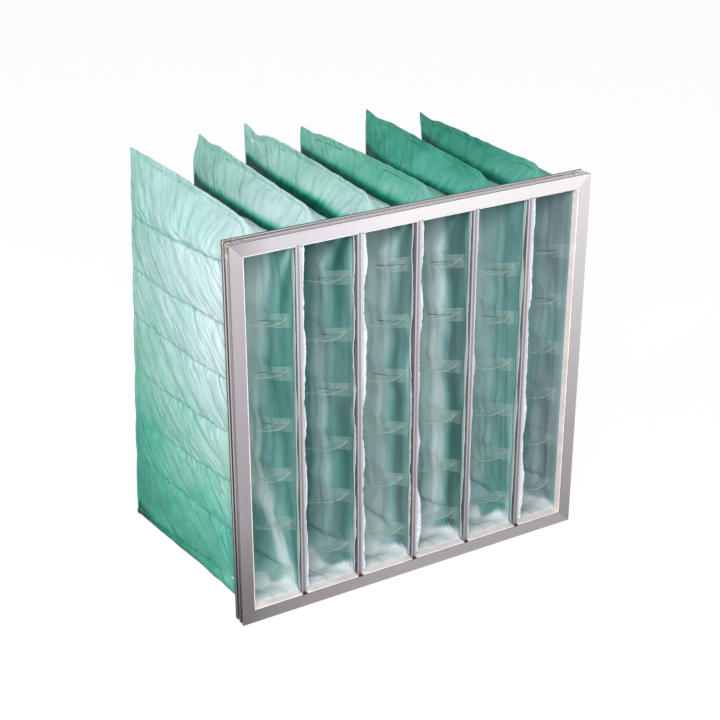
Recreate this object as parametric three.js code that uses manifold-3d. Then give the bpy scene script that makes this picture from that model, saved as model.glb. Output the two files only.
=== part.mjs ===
// Bag air filter: six tapering fibre pockets held in a square aluminium header frame.
// Millimetres. X runs across the face, Y from the inlet face to the pocket tips, Z up.
// The origin is at the middle of the filter's footprint, on the surface it stands on.
import * as THREE from "three";
import { mergeVertices } from "three/addons/utils/BufferGeometryUtils.js";
import Module from "manifold-3d";

const wasm = await Module();
wasm.setup();

// Header frame
const FACE_SIZE = 592;
const HEADER_DEPTH = 25;
const RAIL_WIDTH = 16;
const FLANGE_LIP = 3;
const RAIL_WALL = 1.6;
const OUTER_WALL = 2.6;
const SLOT_FRONT = 13;
const SLOT_WIDTH = 5;
const GROOVE_FRONT = 4;
const GROOVE_WIDTH = 4;
const GROOVE_DEPTH = 1.2;

// Corner keys
const KEY_LEG = 32;
const KEY_PLAY = 0.3;
const RIVET_RADIUS = 2;
const RIVET_HEIGHT = 1.6;
const RIVET_INSET = 12;
const RIVET_SIDES = 8;

// Divider bars
const BAR_WIDTH = 8;
const BAR_WALL = 1;
const BAR_WEB = 1.3;
const BAR_SETBACK = 5;
const BAR_LEG = 11;
const BAR_GROOVE = 1.2;
const BAR_GROOVE_DEPTH = 0.6;
const BAR_FOOT_TAPER = 0.6;
const BAR_FOOT_LENGTH = 14;

// Clamp strips that press the pocket mouths against the rails
const STRIP_WIDTH = 7;
const STRIP_THICKNESS = 2;
const STRIP_SPINE = 2.7;
const FIT = 0.3;

// Pockets
const POCKETS = 6;
const POCKET_LENGTH = 375;
const REAR_EDGE_SLANT = 25;
const MOUTH_CLOTH = 2.5;
const WALL_CLOTH = 4.5;
const POCKET_HALF_WIDTH = 47.5;
const POCKET_PLAY = 2;
const SHOULDER_RUN = 50;
const TIP_HALF_WIDTH = 3;
const TAPER_POWER = 2.6;
const TAPER_ROUND = 0.9;
const RIDGE_RISE = 6;
const FIN_HEIGHT = 9;
const FIN_HALF_WIDTH = 1.3;
const SEAMS = 7;
const LOW_SEAM_MARGIN = 47;
const TOP_SEAM_MARGIN = 23;
const SEAM_PINCH = 8;
const SCALLOP = 3;
const FLANK_POWER = 1.4;
const UNDER_SHARE = 0.86;
const UNDER_DROP = 0.55;
const SOLE_SHARE = 0.35;
const INNER_RIDGE_HALF = 0.5;
const INNER_RIDGE_STEP = 1.5;

// Where the cloth between two seams stands out furthest, as shares of the gap below the upper seam
const PUFF_SHARES = [0.22, 0.78];

// Levels of a pocket's section above its top seam and below its lowest one. On the mouth, which is a
// rectangle, `rim` is the share of its half width. `turn` is how far round the flank has turned.
const RIDGE_LEVELS = [
  { kind: "crest", rim: 0.14 },
  { kind: "foot", rim: 0.45 },
  { kind: "flank", rim: 0.78, turn: 0.35 },
  { kind: "flank", rim: 1, turn: 0.7 },
];
const SOLE_LEVELS = [
  { kind: "under", rim: 1 },
  { kind: "sole", rim: 0.4 },
];

// How far each seam falls on its way from the frame to the tip, the lowest seam first
const SEAM_SAG = [39, 22, 37, 37, 26, 33, 44];

// How each pocket hangs, from the left of the inlet face to the right: height of its tip above the
// frame, sideways drift of the tip at the top and at the floor, how far its middle seams are pulled
// up, and how far all its seams but the top one hang low.
const HANG = [
  { tipRise: 21, topDrift: -22, footDrift: -60, seamLift: 0, seamDrop: 13 },
  { tipRise: 25, topDrift: -6, footDrift: -20, seamLift: 32, seamDrop: 0 },
  { tipRise: 30, topDrift: -24, footDrift: -18, seamLift: 32, seamDrop: 0 },
  { tipRise: 10, topDrift: -20, footDrift: -8, seamLift: 18, seamDrop: 0 },
  { tipRise: 20, topDrift: 3, footDrift: 6, seamLift: -14, seamDrop: 0 },
  { tipRise: 3, topDrift: 15, footDrift: 60, seamLift: -2, seamDrop: 0 },
];

// Spacer tapes sewn across each pocket at its seams
const TAPE_FRONT = 32;
const TAPE_WIDTH = 28;
const TAPE_THICKNESS = 1.2;
const TAPE_SAG = 7;
const TAPE_PIECES = 4;
const TAPE_ANCHOR = 2;

const HALF_FACE = FACE_SIZE / 2;
const RAIL_INNER = HALF_FACE - RAIL_WIDTH;
const FLANGE_INNER = RAIL_INNER - FLANGE_LIP;
const TOTAL_DEPTH = HEADER_DEPTH + POCKET_LENGTH;
const CLOTH_OUTER = RAIL_INNER - FIT;
const CLOTH_INNER = CLOTH_OUTER - MOUTH_CLOTH;
const STRIP_OUTER = CLOTH_INNER - FIT;
const STRIP_INNER = STRIP_OUTER - STRIP_THICKNESS;
const STRIP_FRONT = BAR_SETBACK + BAR_WEB + FIT;
const LIP_FRONT = RAIL_WALL + FIT;
const MOUTH_FRONT = STRIP_FRONT + STRIP_SPINE + FIT;
const PITCH = (2 * RAIL_INNER + RAIL_WIDTH) / POCKETS;
const BODY_PITCH = 2 * POCKET_HALF_WIDTH + POCKET_PLAY;
const CHANNEL_HALF = BAR_WIDTH / 2 - BAR_WALL;

// Shares of the pocket's length at which its skins are drawn, after the ring at the mouth's front.
// The inner skin has a ring at each edge of the spacer tapes, so that their ends meet it.
const TAPE_STATIONS = [TAPE_FRONT, TAPE_FRONT + TAPE_WIDTH].map((y) => (y - HEADER_DEPTH) / POCKET_LENGTH);
const OUTER_STATIONS = [0, 0.04, 0.1, 0.22, 0.45, 0.7, 0.88, 1];
const INNER_STATIONS = [...TAPE_STATIONS, 0.4, 0.75, 0.95];

const satinAluminium = () =>
  new THREE.MeshStandardMaterial({ color: 0xc6c2c6, roughness: 0.38, metalness: 0.9 });
const galvanisedSteel = () =>
  new THREE.MeshStandardMaterial({ color: 0xa7a8a4, roughness: 0.5, metalness: 0.85 });
const creamStrip = () =>
  new THREE.MeshStandardMaterial({ color: 0xe9e2dc, roughness: 0.6, metalness: 0 });
const greenFibre = () =>
  new THREE.MeshStandardMaterial({ color: 0x86cdb4, roughness: 0.75, metalness: 0 });
const paleTape = () =>
  new THREE.MeshStandardMaterial({ color: 0xdde6e3, roughness: 0.8, metalness: 0 });

const lerp = THREE.MathUtils.lerp;
const smoothstep = THREE.MathUtils.smoothstep;

/** Closed geometry from points and triangles, turned so that its faces point out. */
function closedGeometry(points, faces) {
  let volume = 0;
  for (const [a, b, c] of faces) volume += points[a].dot(points[b].clone().cross(points[c]));
  const turned = volume < 0 ? faces.map(([a, b, c]) => [a, c, b]) : faces;
  const geometry = new THREE.BufferGeometry().setFromPoints(points);
  geometry.setIndex(turned.flat());
  geometry.computeVertexNormals();
  return geometry;
}

/** Two triangles for the four-sided face a, b, c, d. */
const quad = (a, b, c, d) => [
  [a, b, c],
  [a, c, d],
];

/** Solid between two copies of an outline, whose points are given by near(p) and far(p). */
function prism(shape, near, far) {
  const outline = THREE.ShapeUtils.isClockWise(shape) ? [...shape].reverse() : shape;
  const count = outline.length;
  const points = [...outline.map(near), ...outline.map(far)];
  const lid = THREE.ShapeUtils.triangulateShape(outline, []);
  const faces = lid.map(([a, b, c]) => [a, c, b]);
  faces.push(...lid.map((t) => t.map((i) => i + count)));
  for (let i = 0; i < count; i++) {
    const j = (i + 1) % count;
    faces.push(...quad(i, j, j + count, i + count));
  }
  return closedGeometry(points, faces);
}

/** Geometry as a solid that can be joined and cut. */
function toSolid(geometry) {
  const bare = geometry.clone();
  for (const name of ["normal", "uv"]) bare.deleteAttribute(name);
  const merged = mergeVertices(bare);
  const vertProperties = Float32Array.from(merged.attributes.position.array);
  const triVerts = Uint32Array.from(merged.index.array);
  return new wasm.Manifold(new wasm.Mesh({ numProp: 3, vertProperties, triVerts }));
}

/** A joined or cut solid as geometry. */
function toGeometry(solid) {
  const { vertProperties, triVerts } = solid.getMesh();
  const geometry = new THREE.BufferGeometry();
  geometry.setAttribute("position", new THREE.BufferAttribute(vertProperties, 3));
  geometry.setIndex(new THREE.BufferAttribute(triVerts, 1));
  geometry.computeVertexNormals();
  return geometry;
}

const model = new THREE.Group();
const filter = new THREE.Group();
filter.position.set(0, -TOTAL_DEPTH / 2, HALF_FACE);
model.add(filter);

/** Adds a named piece to the filter. */
function place(name, geometry, material) {
  const mesh = new THREE.Mesh(geometry, material);
  mesh.name = name;
  filter.add(mesh);
}

// Each side turns (along the side, outwards from the centre) into (x, z).
const SIDES = {
  top: (along, out) => [along, out],
  bottom: (along, out) => [along, -out],
  left: (along, out) => [-out, along],
  right: (along, out) => [out, along],
};

/** Hollow rail section as (outwards, depth): front flange, grooved outer wall with a slot, rear wall. */
function railOutline() {
  const cavityOut = HALF_FACE - OUTER_WALL;
  const cavityIn = RAIL_INNER + RAIL_WALL;
  const grooveRear = GROOVE_FRONT + GROOVE_WIDTH;
  const slotRear = SLOT_FRONT + SLOT_WIDTH;
  const rearInside = HEADER_DEPTH - RAIL_WALL;
  return [
    [FLANGE_INNER, 0],
    [HALF_FACE, 0],
    [HALF_FACE, GROOVE_FRONT],
    [HALF_FACE - GROOVE_DEPTH, GROOVE_FRONT],
    [HALF_FACE - GROOVE_DEPTH, grooveRear],
    [HALF_FACE, grooveRear],
    [HALF_FACE, SLOT_FRONT],
    [cavityOut, SLOT_FRONT],
    [cavityOut, RAIL_WALL],
    [cavityIn, RAIL_WALL],
    [cavityIn, rearInside],
    [cavityOut, rearInside],
    [cavityOut, slotRear],
    [HALF_FACE, slotRear],
    [HALF_FACE, HEADER_DEPTH],
    [RAIL_INNER, HEADER_DEPTH],
    [RAIL_INNER, RAIL_WALL],
    [FLANGE_INNER, RAIL_WALL],
  ].map(([out, depth]) => new THREE.Vector2(out, depth));
}

/** Rail mitred at both ends, so each section point ends as far along as it lies out. */
function rail(side) {
  const end = (sign) => (p) => {
    const [x, z] = SIDES[side](sign * p.x, p.x);
    return new THREE.Vector3(x, p.y, z);
  };
  return prism(railOutline(), end(-1), end(1));
}

/** L-shaped key inside two rails, with a rivet head in the slot on each leg. */
function cornerKey(signX, signZ) {
  const outer = HALF_FACE - OUTER_WALL - KEY_PLAY;
  const inner = RAIL_INNER + RAIL_WALL + KEY_PLAY;
  const end = outer - KEY_LEG;
  const front = RAIL_WALL + KEY_PLAY;
  const rear = HEADER_DEPTH - RAIL_WALL - KEY_PLAY;
  const outline = [
    [outer, outer],
    [end, outer],
    [end, inner],
    [inner, inner],
    [inner, end],
    [outer, end],
  ].map(([x, z]) => new THREE.Vector2(signX * x, signZ * z));
  const at = (depth) => (p) => new THREE.Vector3(p.x, depth, p.y);
  const body = toSolid(prism(outline, at(front), at(rear)));
  const rivetAlong = outer - RIVET_INSET;
  const rivetOut = outer + RIVET_HEIGHT / 2 - KEY_PLAY;
  const rivetDepth = SLOT_FRONT + SLOT_WIDTH / 2;
  const head = new THREE.CylinderGeometry(RIVET_RADIUS, RIVET_RADIUS, RIVET_HEIGHT, RIVET_SIDES);
  const sideHead = head.clone().rotateZ(Math.PI / 2);
  sideHead.translate(signX * rivetOut, rivetDepth, signZ * rivetAlong);
  const endHead = head.clone().rotateX(Math.PI / 2);
  endHead.translate(signX * rivetAlong, rivetDepth, signZ * rivetOut);
  return toGeometry(body.add(toSolid(sideHead)).add(toSolid(endHead)));
}

/** Places of the dividers across the face. */
function dividerCentres() {
  return Array.from({ length: POCKETS - 1 }, (_, i) => (i + 1 - POCKETS / 2) * PITCH);
}

/** Grooved web that ends in a narrowed foot at each rail, with two legs that grip the cloth. */
function dividerBar(centre) {
  const half = BAR_WIDTH / 2;
  const front = BAR_SETBACK;
  const groove = front + BAR_GROOVE_DEPTH;
  const back = front + BAR_WEB;
  const grooveNear = BAR_GROOVE / 2;
  const grooveFar = grooveNear + BAR_GROOVE;
  const webOutline = [
    [-half, front],
    [-grooveFar, front],
    [-grooveFar, groove],
    [-grooveNear, groove],
    [-grooveNear, front],
    [grooveNear, front],
    [grooveNear, groove],
    [grooveFar, groove],
    [grooveFar, front],
    [half, front],
    [half, back],
    [-half, back],
  ].map(([x, y]) => new THREE.Vector2(x, y));
  const slice = (z, share) => (p) => new THREE.Vector3(centre + p.x * share, p.y, z);
  const footTop = RAIL_INNER - BAR_FOOT_LENGTH;
  const pieces = [
    prism(webOutline, slice(-footTop, 1), slice(footTop, 1)),
    prism(webOutline, slice(-RAIL_INNER, BAR_FOOT_TAPER), slice(-footTop, 1)),
    prism(webOutline, slice(footTop, 1), slice(RAIL_INNER, BAR_FOOT_TAPER)),
  ];
  for (const sign of [-1, 1]) {
    const leg = new THREE.BoxGeometry(BAR_WALL, BAR_LEG, 2 * STRIP_INNER);
    leg.translate(centre + sign * (half - BAR_WALL / 2), front + BAR_LEG / 2, 0);
    pieces.push(leg);
  }
  return toGeometry(wasm.Manifold.union(pieces.map(toSolid)));
}

/** Strip along the top or bottom mouth edges, cut away before and behind each divider. */
function combStrip(out) {
  const rear = STRIP_FRONT + STRIP_WIDTH;
  const notchFront = STRIP_FRONT + STRIP_SPINE;
  const clear = BAR_WIDTH / 2 + FIT;
  const outline = [new THREE.Vector2(-STRIP_OUTER, LIP_FRONT)];
  for (const centre of dividerCentres()) {
    outline.push(new THREE.Vector2(centre - clear, LIP_FRONT));
    outline.push(new THREE.Vector2(centre - clear, STRIP_FRONT));
    outline.push(new THREE.Vector2(centre + clear, STRIP_FRONT));
    outline.push(new THREE.Vector2(centre + clear, LIP_FRONT));
  }
  outline.push(new THREE.Vector2(STRIP_OUTER, LIP_FRONT));
  outline.push(new THREE.Vector2(STRIP_OUTER, rear));
  for (const centre of dividerCentres().reverse()) {
    outline.push(new THREE.Vector2(centre + CHANNEL_HALF, rear));
    outline.push(new THREE.Vector2(centre + CHANNEL_HALF, notchFront));
    outline.push(new THREE.Vector2(centre - CHANNEL_HALF, notchFront));
    outline.push(new THREE.Vector2(centre - CHANNEL_HALF, rear));
  }
  outline.push(new THREE.Vector2(-STRIP_OUTER, rear));
  const at = (z) => (p) => new THREE.Vector3(p.x, p.y, z);
  return prism(outline, at(out * STRIP_INNER), at(out * STRIP_OUTER));
}

/** Plain strip down the left or right mouth edge, between the two comb strips. */
function sideStrip(out) {
  const width = STRIP_FRONT + STRIP_WIDTH - LIP_FRONT;
  const strip = new THREE.BoxGeometry(STRIP_THICKNESS, width, 2 * STRIP_INNER);
  strip.translate(out * (STRIP_INNER + STRIP_THICKNESS / 2), LIP_FRONT + width / 2, 0);
  return strip;
}

/** Left and right edge of a pocket's mouth, against a rail or half a fit from a divider's middle. */
function mouthEdges(index) {
  const dividers = dividerCentres();
  const left = index === 0 ? -CLOTH_OUTER : dividers[index - 1] + FIT / 2;
  const right = index === POCKETS - 1 ? CLOTH_OUTER : dividers[index] - FIT / 2;
  return { left, right };
}

/** Levels down one side of a pocket's section: ridge, seams with puffed cloth between, and sole. */
function sideLevels() {
  const side = [{ kind: "seam", rim: 1, seam: SEAMS - 1 }];
  for (let seam = SEAMS - 1; seam > 0; seam--) {
    for (const share of PUFF_SHARES) side.push({ kind: "puff", rim: 1, seam: seam - share });
    side.push({ kind: "seam", rim: 1, seam: seam - 1 });
  }
  return [...RIDGE_LEVELS, ...side, ...SOLE_LEVELS];
}

/** Height of a seam above the frame's centre at share f of the pocket's length. */
function seamHeight(pocket, seam, f) {
  const low = -CLOTH_OUTER + LOW_SEAM_MARGIN;
  const high = CLOTH_OUTER - TOP_SEAM_MARGIN;
  const last = SEAMS - 1;
  const pull = Math.min(seam / (last - 1), last - seam);
  const below = Math.floor(seam);
  const sag = lerp(SEAM_SAG[below], SEAM_SAG[Math.ceil(seam)], seam - below);
  const drop = pocket.seamDrop * Math.min(last - seam, 1);
  return lerp(low, high, seam / last) + pocket.seamLift * pull - drop - sag * f;
}

/** Half width of the pocket at share f of its length. */
function halfWidth(f) {
  const swell = Math.pow(1 - Math.pow(f, TAPER_POWER), TAPER_ROUND);
  return TIP_HALF_WIDTH + (POCKET_HALF_WIDTH - TIP_HALF_WIDTH) * swell;
}

/** Half width and height of a level behind the frame, on the outer skin or inset by the cloth. */
function bodySection(pocket, level, f, inset) {
  const ridge = HALF_FACE + lerp(RIDGE_RISE, pocket.tipRise, f);
  const wide = Math.max(halfWidth(f) - inset, INNER_RIDGE_HALF);
  const pinch = (SEAM_PINCH * wide) / POCKET_HALF_WIDTH;
  const footHeight = ridge - FIN_HEIGHT - inset;
  const topSeam = seamHeight(pocket, SEAMS - 1, f);
  const lowSeam = seamHeight(pocket, 0, f);
  const floor = -HALF_FACE + inset;
  const finHalf = inset > 0 ? INNER_RIDGE_HALF : FIN_HALF_WIDTH;
  switch (level.kind) {
    case "crest":
      return [finHalf, inset > 0 ? footHeight : ridge];
    case "foot":
      return [finHalf, inset > 0 ? footHeight - INNER_RIDGE_STEP : footHeight];
    case "flank":
      return [
        Math.max(wide * Math.sin((level.turn * Math.PI) / 2), finHalf),
        lerp(footHeight - INNER_RIDGE_STEP, topSeam, Math.pow(level.turn, FLANK_POWER)),
      ];
    case "seam":
      return [wide - pinch, seamHeight(pocket, level.seam, f)];
    case "puff":
      return [wide, seamHeight(pocket, level.seam, f)];
    case "under":
      return [Math.max(wide * UNDER_SHARE, finHalf), lerp(lowSeam, floor, UNDER_DROP)];
    default:
      return [Math.max(wide * SOLE_SHARE, finHalf), floor];
  }
}

/** Half width and height of a level on the rectangular mouth. */
function mouthSection(pocket, level, inset) {
  const wide = (pocket.right - pocket.left) / 2 - inset;
  const high = CLOTH_OUTER - inset;
  const share = level.rim * wide;
  if (RIDGE_LEVELS.includes(level)) return [share, high];
  if (SOLE_LEVELS.includes(level)) return [share, -high];
  return [share, seamHeight(pocket, level.seam, 0)];
}

/** Point of the pocket's skin: side is 1 or -1, f runs from 0 at the frame's rear to 1 at the tip. */
function skinPoint(pocket, side, level, f, inner) {
  const blend = smoothstep(f * POCKET_LENGTH, 0, SHOULDER_RUN);
  const [mouthHalf, mouthHeight] = mouthSection(pocket, level, inner ? MOUTH_CLOTH : 0);
  const [bodyHalf, bodyHeight] = bodySection(pocket, level, f, inner ? WALL_CLOTH : 0);
  const height = lerp(mouthHeight, bodyHeight, blend);
  const rise = (height + HALF_FACE) / FACE_SIZE;
  const mouthMiddle = (pocket.left + pocket.right) / 2;
  const drift = lerp(pocket.footDrift, pocket.topDrift, rise) * f * f;
  const middle = lerp(mouthMiddle, pocket.middle, blend) + drift;
  const slant = REAR_EDGE_SLANT * (1 - rise) + (level.kind === "seam" ? SCALLOP : 0);
  const depth = HEADER_DEPTH + (POCKET_LENGTH - Math.max(slant, 0)) * f;
  return new THREE.Vector3(middle + side * lerp(mouthHalf, bodyHalf, blend), depth, height);
}

/** Rings of points down the right side of a pocket's skin and up the left. */
function skinRings(pocket, levels, stations, inner) {
  const ring = (f) => [
    ...levels.map((level) => skinPoint(pocket, 1, level, f, inner)),
    ...levels.map((level) => skinPoint(pocket, -1, level, f, inner)).reverse(),
  ];
  const mouth = ring(0).map((p) => p.setY(MOUTH_FRONT));
  return [mouth, ...stations.map(ring)];
}

/** Open-mouthed pocket: outer skin, inner skin, a rim that joins them and a closed tip on each. */
function pocketShell(pocket) {
  const levels = sideLevels();
  const count = 2 * levels.length;
  const outer = skinRings(pocket, levels, OUTER_STATIONS, false);
  const inner = skinRings(pocket, levels, INNER_STATIONS, true);
  const points = [...outer.flat(), ...inner.flat()];
  const innerStart = outer.length * count;
  const faces = [];
  const addTube = (start, rings, flip) => {
    for (let r = 0; r + 1 < rings; r++) {
      for (let i = 0; i < count; i++) {
        const a = start + r * count + i;
        const b = start + r * count + ((i + 1) % count);
        faces.push(...(flip ? quad(a, a + count, b + count, b) : quad(a, b, b + count, a + count)));
      }
    }
  };
  const addTip = (start, flip) => {
    for (let i = 0; i + 1 < levels.length; i++) {
      const [a, b, c, d] = [i, i + 1, count - 2 - i, count - 1 - i].map((k) => start + k);
      faces.push(...(flip ? quad(a, d, c, b) : quad(a, b, c, d)));
    }
  };
  addTube(0, outer.length, false);
  addTip((outer.length - 1) * count, false);
  addTube(innerStart, inner.length, true);
  addTip(innerStart + (inner.length - 1) * count, true);
  for (let i = 0; i < count; i++) {
    const j = (i + 1) % count;
    faces.push(...quad(i, innerStart + i, innerStart + j, j));
  }
  return closedGeometry(points, faces);
}

/** Sagging tape from wall to wall of a pocket at one seam; reach is how far its ends pass the wall. */
function spacerTape(pocket, seam, reach) {
  const level = { kind: "seam", rim: 1, seam };
  const row = (f, lift) => {
    const left = skinPoint(pocket, -1, level, f, true);
    const right = skinPoint(pocket, 1, level, f, true);
    return Array.from({ length: TAPE_PIECES + 1 }, (_, i) => {
      const share = (2 * i) / TAPE_PIECES - 1;
      const x = lerp(left.x - reach, right.x + reach, i / TAPE_PIECES);
      const sag = TAPE_SAG * (1 - share * share);
      return new THREE.Vector3(x, left.y, left.z - sag + lift);
    });
  };
  const [front, rear] = TAPE_STATIONS;
  const lift = TAPE_THICKNESS / 2;
  const rings = [row(front, -lift), row(front, lift), row(rear, lift), row(rear, -lift)];
  const points = rings.flat();
  const width = TAPE_PIECES + 1;
  const faces = [];
  for (let r = 0; r < rings.length; r++) {
    const next = (r + 1) % rings.length;
    for (let i = 0; i < TAPE_PIECES; i++) {
      faces.push(...quad(r * width + i, r * width + i + 1, next * width + i + 1, next * width + i));
    }
  }
  const end = (i) => [i, width + i, 2 * width + i, 3 * width + i];
  const [a, b, c, d] = end(0);
  faces.push(...quad(a, b, c, d));
  const [e, f, g, h] = end(TAPE_PIECES);
  faces.push(...quad(e, h, g, f));
  return closedGeometry(points, faces);
}

for (const side of Object.keys(SIDES)) place(`frame_rail_${side}`, rail(side), satinAluminium());

for (const [vertical, signZ] of [["top", 1], ["bottom", -1]]) {
  for (const [sideways, signX] of [["left", -1], ["right", 1]]) {
    place(`corner_key_${vertical}_${sideways}`, cornerKey(signX, signZ), galvanisedSteel());
  }
  place(`clamp_strip_${vertical}`, combStrip(signZ), creamStrip());
}
place("clamp_strip_left", sideStrip(-1), creamStrip());
place("clamp_strip_right", sideStrip(1), creamStrip());

dividerCentres().forEach((centre, i) => place(`divider_${i + 1}`, dividerBar(centre), satinAluminium()));

for (let index = 0; index < POCKETS; index++) {
  const middle = (index - (POCKETS - 1) / 2) * BODY_PITCH;
  const pocket = { ...mouthEdges(index), middle, ...HANG[index] };
  const top = SEAMS - 1;
  const shell = toSolid(pocketShell(pocket)).add(toSolid(spacerTape(pocket, top, TAPE_ANCHOR)));
  place(`pocket_${index + 1}`, toGeometry(shell), greenFibre());
  for (let seam = 0; seam < top; seam++) {
    const name = `spacer_tape_${index + 1}_${seam + 1}`;
    place(name, spacerTape(pocket, seam, -FIT), paleTape());
  }
}

export default model;
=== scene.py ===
"""Bag air filter: an aluminium header frame with six quilted, tapering cloth pockets behind it."""

import math

import bmesh
import bpy
import numpy as np
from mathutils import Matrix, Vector


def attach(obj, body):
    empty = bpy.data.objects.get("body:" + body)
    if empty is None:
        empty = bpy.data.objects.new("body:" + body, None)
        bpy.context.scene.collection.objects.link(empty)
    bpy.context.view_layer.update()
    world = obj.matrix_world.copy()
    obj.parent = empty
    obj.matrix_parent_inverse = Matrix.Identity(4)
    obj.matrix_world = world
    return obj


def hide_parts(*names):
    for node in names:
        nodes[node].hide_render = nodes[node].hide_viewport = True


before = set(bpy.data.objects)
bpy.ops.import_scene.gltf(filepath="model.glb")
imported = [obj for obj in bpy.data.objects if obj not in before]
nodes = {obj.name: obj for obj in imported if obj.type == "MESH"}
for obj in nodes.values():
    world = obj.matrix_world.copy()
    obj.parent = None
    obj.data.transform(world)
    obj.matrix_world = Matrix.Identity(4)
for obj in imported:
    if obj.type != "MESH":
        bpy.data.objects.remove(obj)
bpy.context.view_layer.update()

MM = 0.001

# The filter's sizes in millimetres. Heights here count from the frame's centre, and depths from the
# front face. They are the solids' own sizes, but for a thicker padded wall, which hangs as soft as
# the cloth does, and a thinner fin.
FACE_SIZE = 592
HALF_FACE = FACE_SIZE / 2
HEADER_DEPTH = 25
POCKET_LENGTH = 375
TOTAL_DEPTH = HEADER_DEPTH + POCKET_LENGTH
CLOTH_OUTER = 279.7
STRIP_INNER = 274.9
MOUTH_FRONT = 9.6
MOUTH_CLOTH = 2.5
WALL_CLOTH = 6
BAR_HALF = 4
BAR_BACK = 16
PITCH = 96
BODY_PITCH = 97
HALF_FIT = 0.15
POCKETS = 6
POCKET_HALF_WIDTH = 47.5
SHOULDER_RUN = 50
TIP_HALF_WIDTH = 3
TAPER_POWER = 2.6
TAPER_ROUND = 0.9
RIDGE_RISE = 6
FIN_HEIGHT = 9
INNER_RIDGE_DROP = 14
FIN_HALF_WIDTH = 0.9
SEAMS = 7
LOW_SEAM_MARGIN = 47
TOP_SEAM_MARGIN = 23
SEAM_PINCH = 8
SEAM_SAG = [39, 22, 37, 37, 26, 33, 44]
SCALLOP = 3
REAR_EDGE_SLANT = 25
REAR_HEM = 7
TAPE_FRONT = 32
TAPE_WIDTH = 28
TAPE_SAG = 7
RUNG_FALL = 0.34
# Depths between which a tape is sewn to the right-hand wall
SEWN_FROM, SEWN_TO = 38, 108
# Distances from the frame's centre beyond which a rail shows its crimp marks and its outward wall
CRIMP_FROM = 268
OUTWARD_FROM = 290

# How each pocket hangs: height of its tip above the frame, drift of the tip at the top and at the
# floor, pull and drop of its seams, bow of its rear edge, and dip of its ridge just before the tip.
HANG = [
    {"rise": 21, "top": -22, "foot": -60, "lift": 0, "drop": 13, "bow": 0, "dip": 1},
    {"rise": 25, "top": -6, "foot": -20, "lift": 32, "drop": 0, "bow": -10, "dip": 4},
    {"rise": 30, "top": -24, "foot": -18, "lift": 32, "drop": 0, "bow": 0, "dip": 9},
    {"rise": 10, "top": -20, "foot": -8, "lift": 18, "drop": 0, "bow": -3, "dip": 3},
    {"rise": 20, "top": 3, "foot": 6, "lift": -14, "drop": 0, "bow": -2, "dip": 4},
    {"rise": 0, "top": 9, "foot": 60, "lift": -2, "drop": 0, "bow": 0, "dip": 4},
]
# Outside, how deep each pocket's green looks in front and what it gains to the rear, partly the cloth's own
# green and partly painted light and shade, and how far below its ridge the painted shade of the valley on its
# left begins at the rear.
OUTSIDE = [
    {"tone": 0.16, "gain": 0.18, "valley": 0},
    {"tone": 0.14, "gain": 0.26, "valley": 53},
    {"tone": 0.26, "gain": 0.14, "valley": 41},
    {"tone": 0.54, "gain": 0.0, "valley": 25},
    {"tone": 0.66, "gain": 0.06, "valley": 50},
    {"tone": 0.64, "gain": 0.06, "valley": 28},
]
# Inside, at these depths behind the front face, how deep the green of each right-hand wall looks and how grey
# it is, both painted light and shade, and at which angles below level creases fan out from its upper front
# corner.
WALL_DEPTHS = [16, 26, 45, 60, 78, 93, 108, 138]
INSIDE = [
    {"wall": [0.15, 0.65, 0.85, 0.7, 0.6, 0.5, 0.2, 0.0], "grey": 0.1, "fan": [66]},
    {"wall": [0.2, 0.75, 0.95, 0.8, 0.5, 0.3, 0.3, 0.55], "grey": 0.3, "fan": [52]},
    {"wall": [0.2, 0.75, 1.05, 0.5, 0.1, 0.12, 0.12, 0.12], "grey": 0.35, "fan": [38, 58]},
    {"wall": [0.3, 0.95, 1.15, 0.65, 0.0, 0.0, 0.22, 0.08], "grey": 0.35, "fan": [56]},
    {"wall": [0.3, 0.75, 0.75, 0.6, 0.5, 0.33, 0.22, 0.12], "grey": 0.25, "fan": []},
    {"wall": [0.6, 0.8, 0.6, 0.45, 0.35, 0.3, 0.35, 0.45], "grey": 0.8, "fan": []},
]


def hex_colour(text):
    """A linear colour from an sRGB hex value."""
    parts = [int(text[i : i + 2], 16) / 255 for i in (1, 3, 5)]
    return [c / 12.92 if c <= 0.04045 else ((c + 0.055) / 1.055) ** 2.4 for c in parts] + [1]


def lerp(a, b, share):
    return a + (b - a) * share


def ease(x, low, high):
    """0 below low, 1 above high and smooth in between."""
    t = np.clip((x - low) / (high - low), 0, 1)
    return t * t * (3 - 2 * t)


def noise(u, v, seed):
    """Smooth noise between -1 and 1 over a plane, the same for the same seed."""
    u, v = np.broadcast_arrays(np.asarray(u, float), np.asarray(v, float))
    base_u, base_v = np.floor(u).astype(np.int64), np.floor(v).astype(np.int64)
    part_u, part_v = u - base_u, v - base_v
    smooth_u, smooth_v = (p * p * (3 - 2 * p) for p in (part_u, part_v))

    def corner(step_u, step_v):
        mixed = (base_u + step_u) * 374761393 + (base_v + step_v) * 668265263 + seed * 974634777
        mixed = mixed & 0xFFFFFFFF
        mixed = ((mixed ^ (mixed >> 13)) * 1274126177) & 0xFFFFFFFF
        return ((mixed ^ (mixed >> 16)) & 0xFFFF) / 32767.5 - 1

    low = lerp(corner(0, 0), corner(1, 0), smooth_u)
    high = lerp(corner(0, 1), corner(1, 1), smooth_u)
    return lerp(low, high, smooth_v)


def crease(u, v, seed):
    """Sharp-crested noise between -1 and 1: the lines of a wrinkled cloth."""
    return 1 - 2 * np.abs(noise(u, v, seed))


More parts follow.
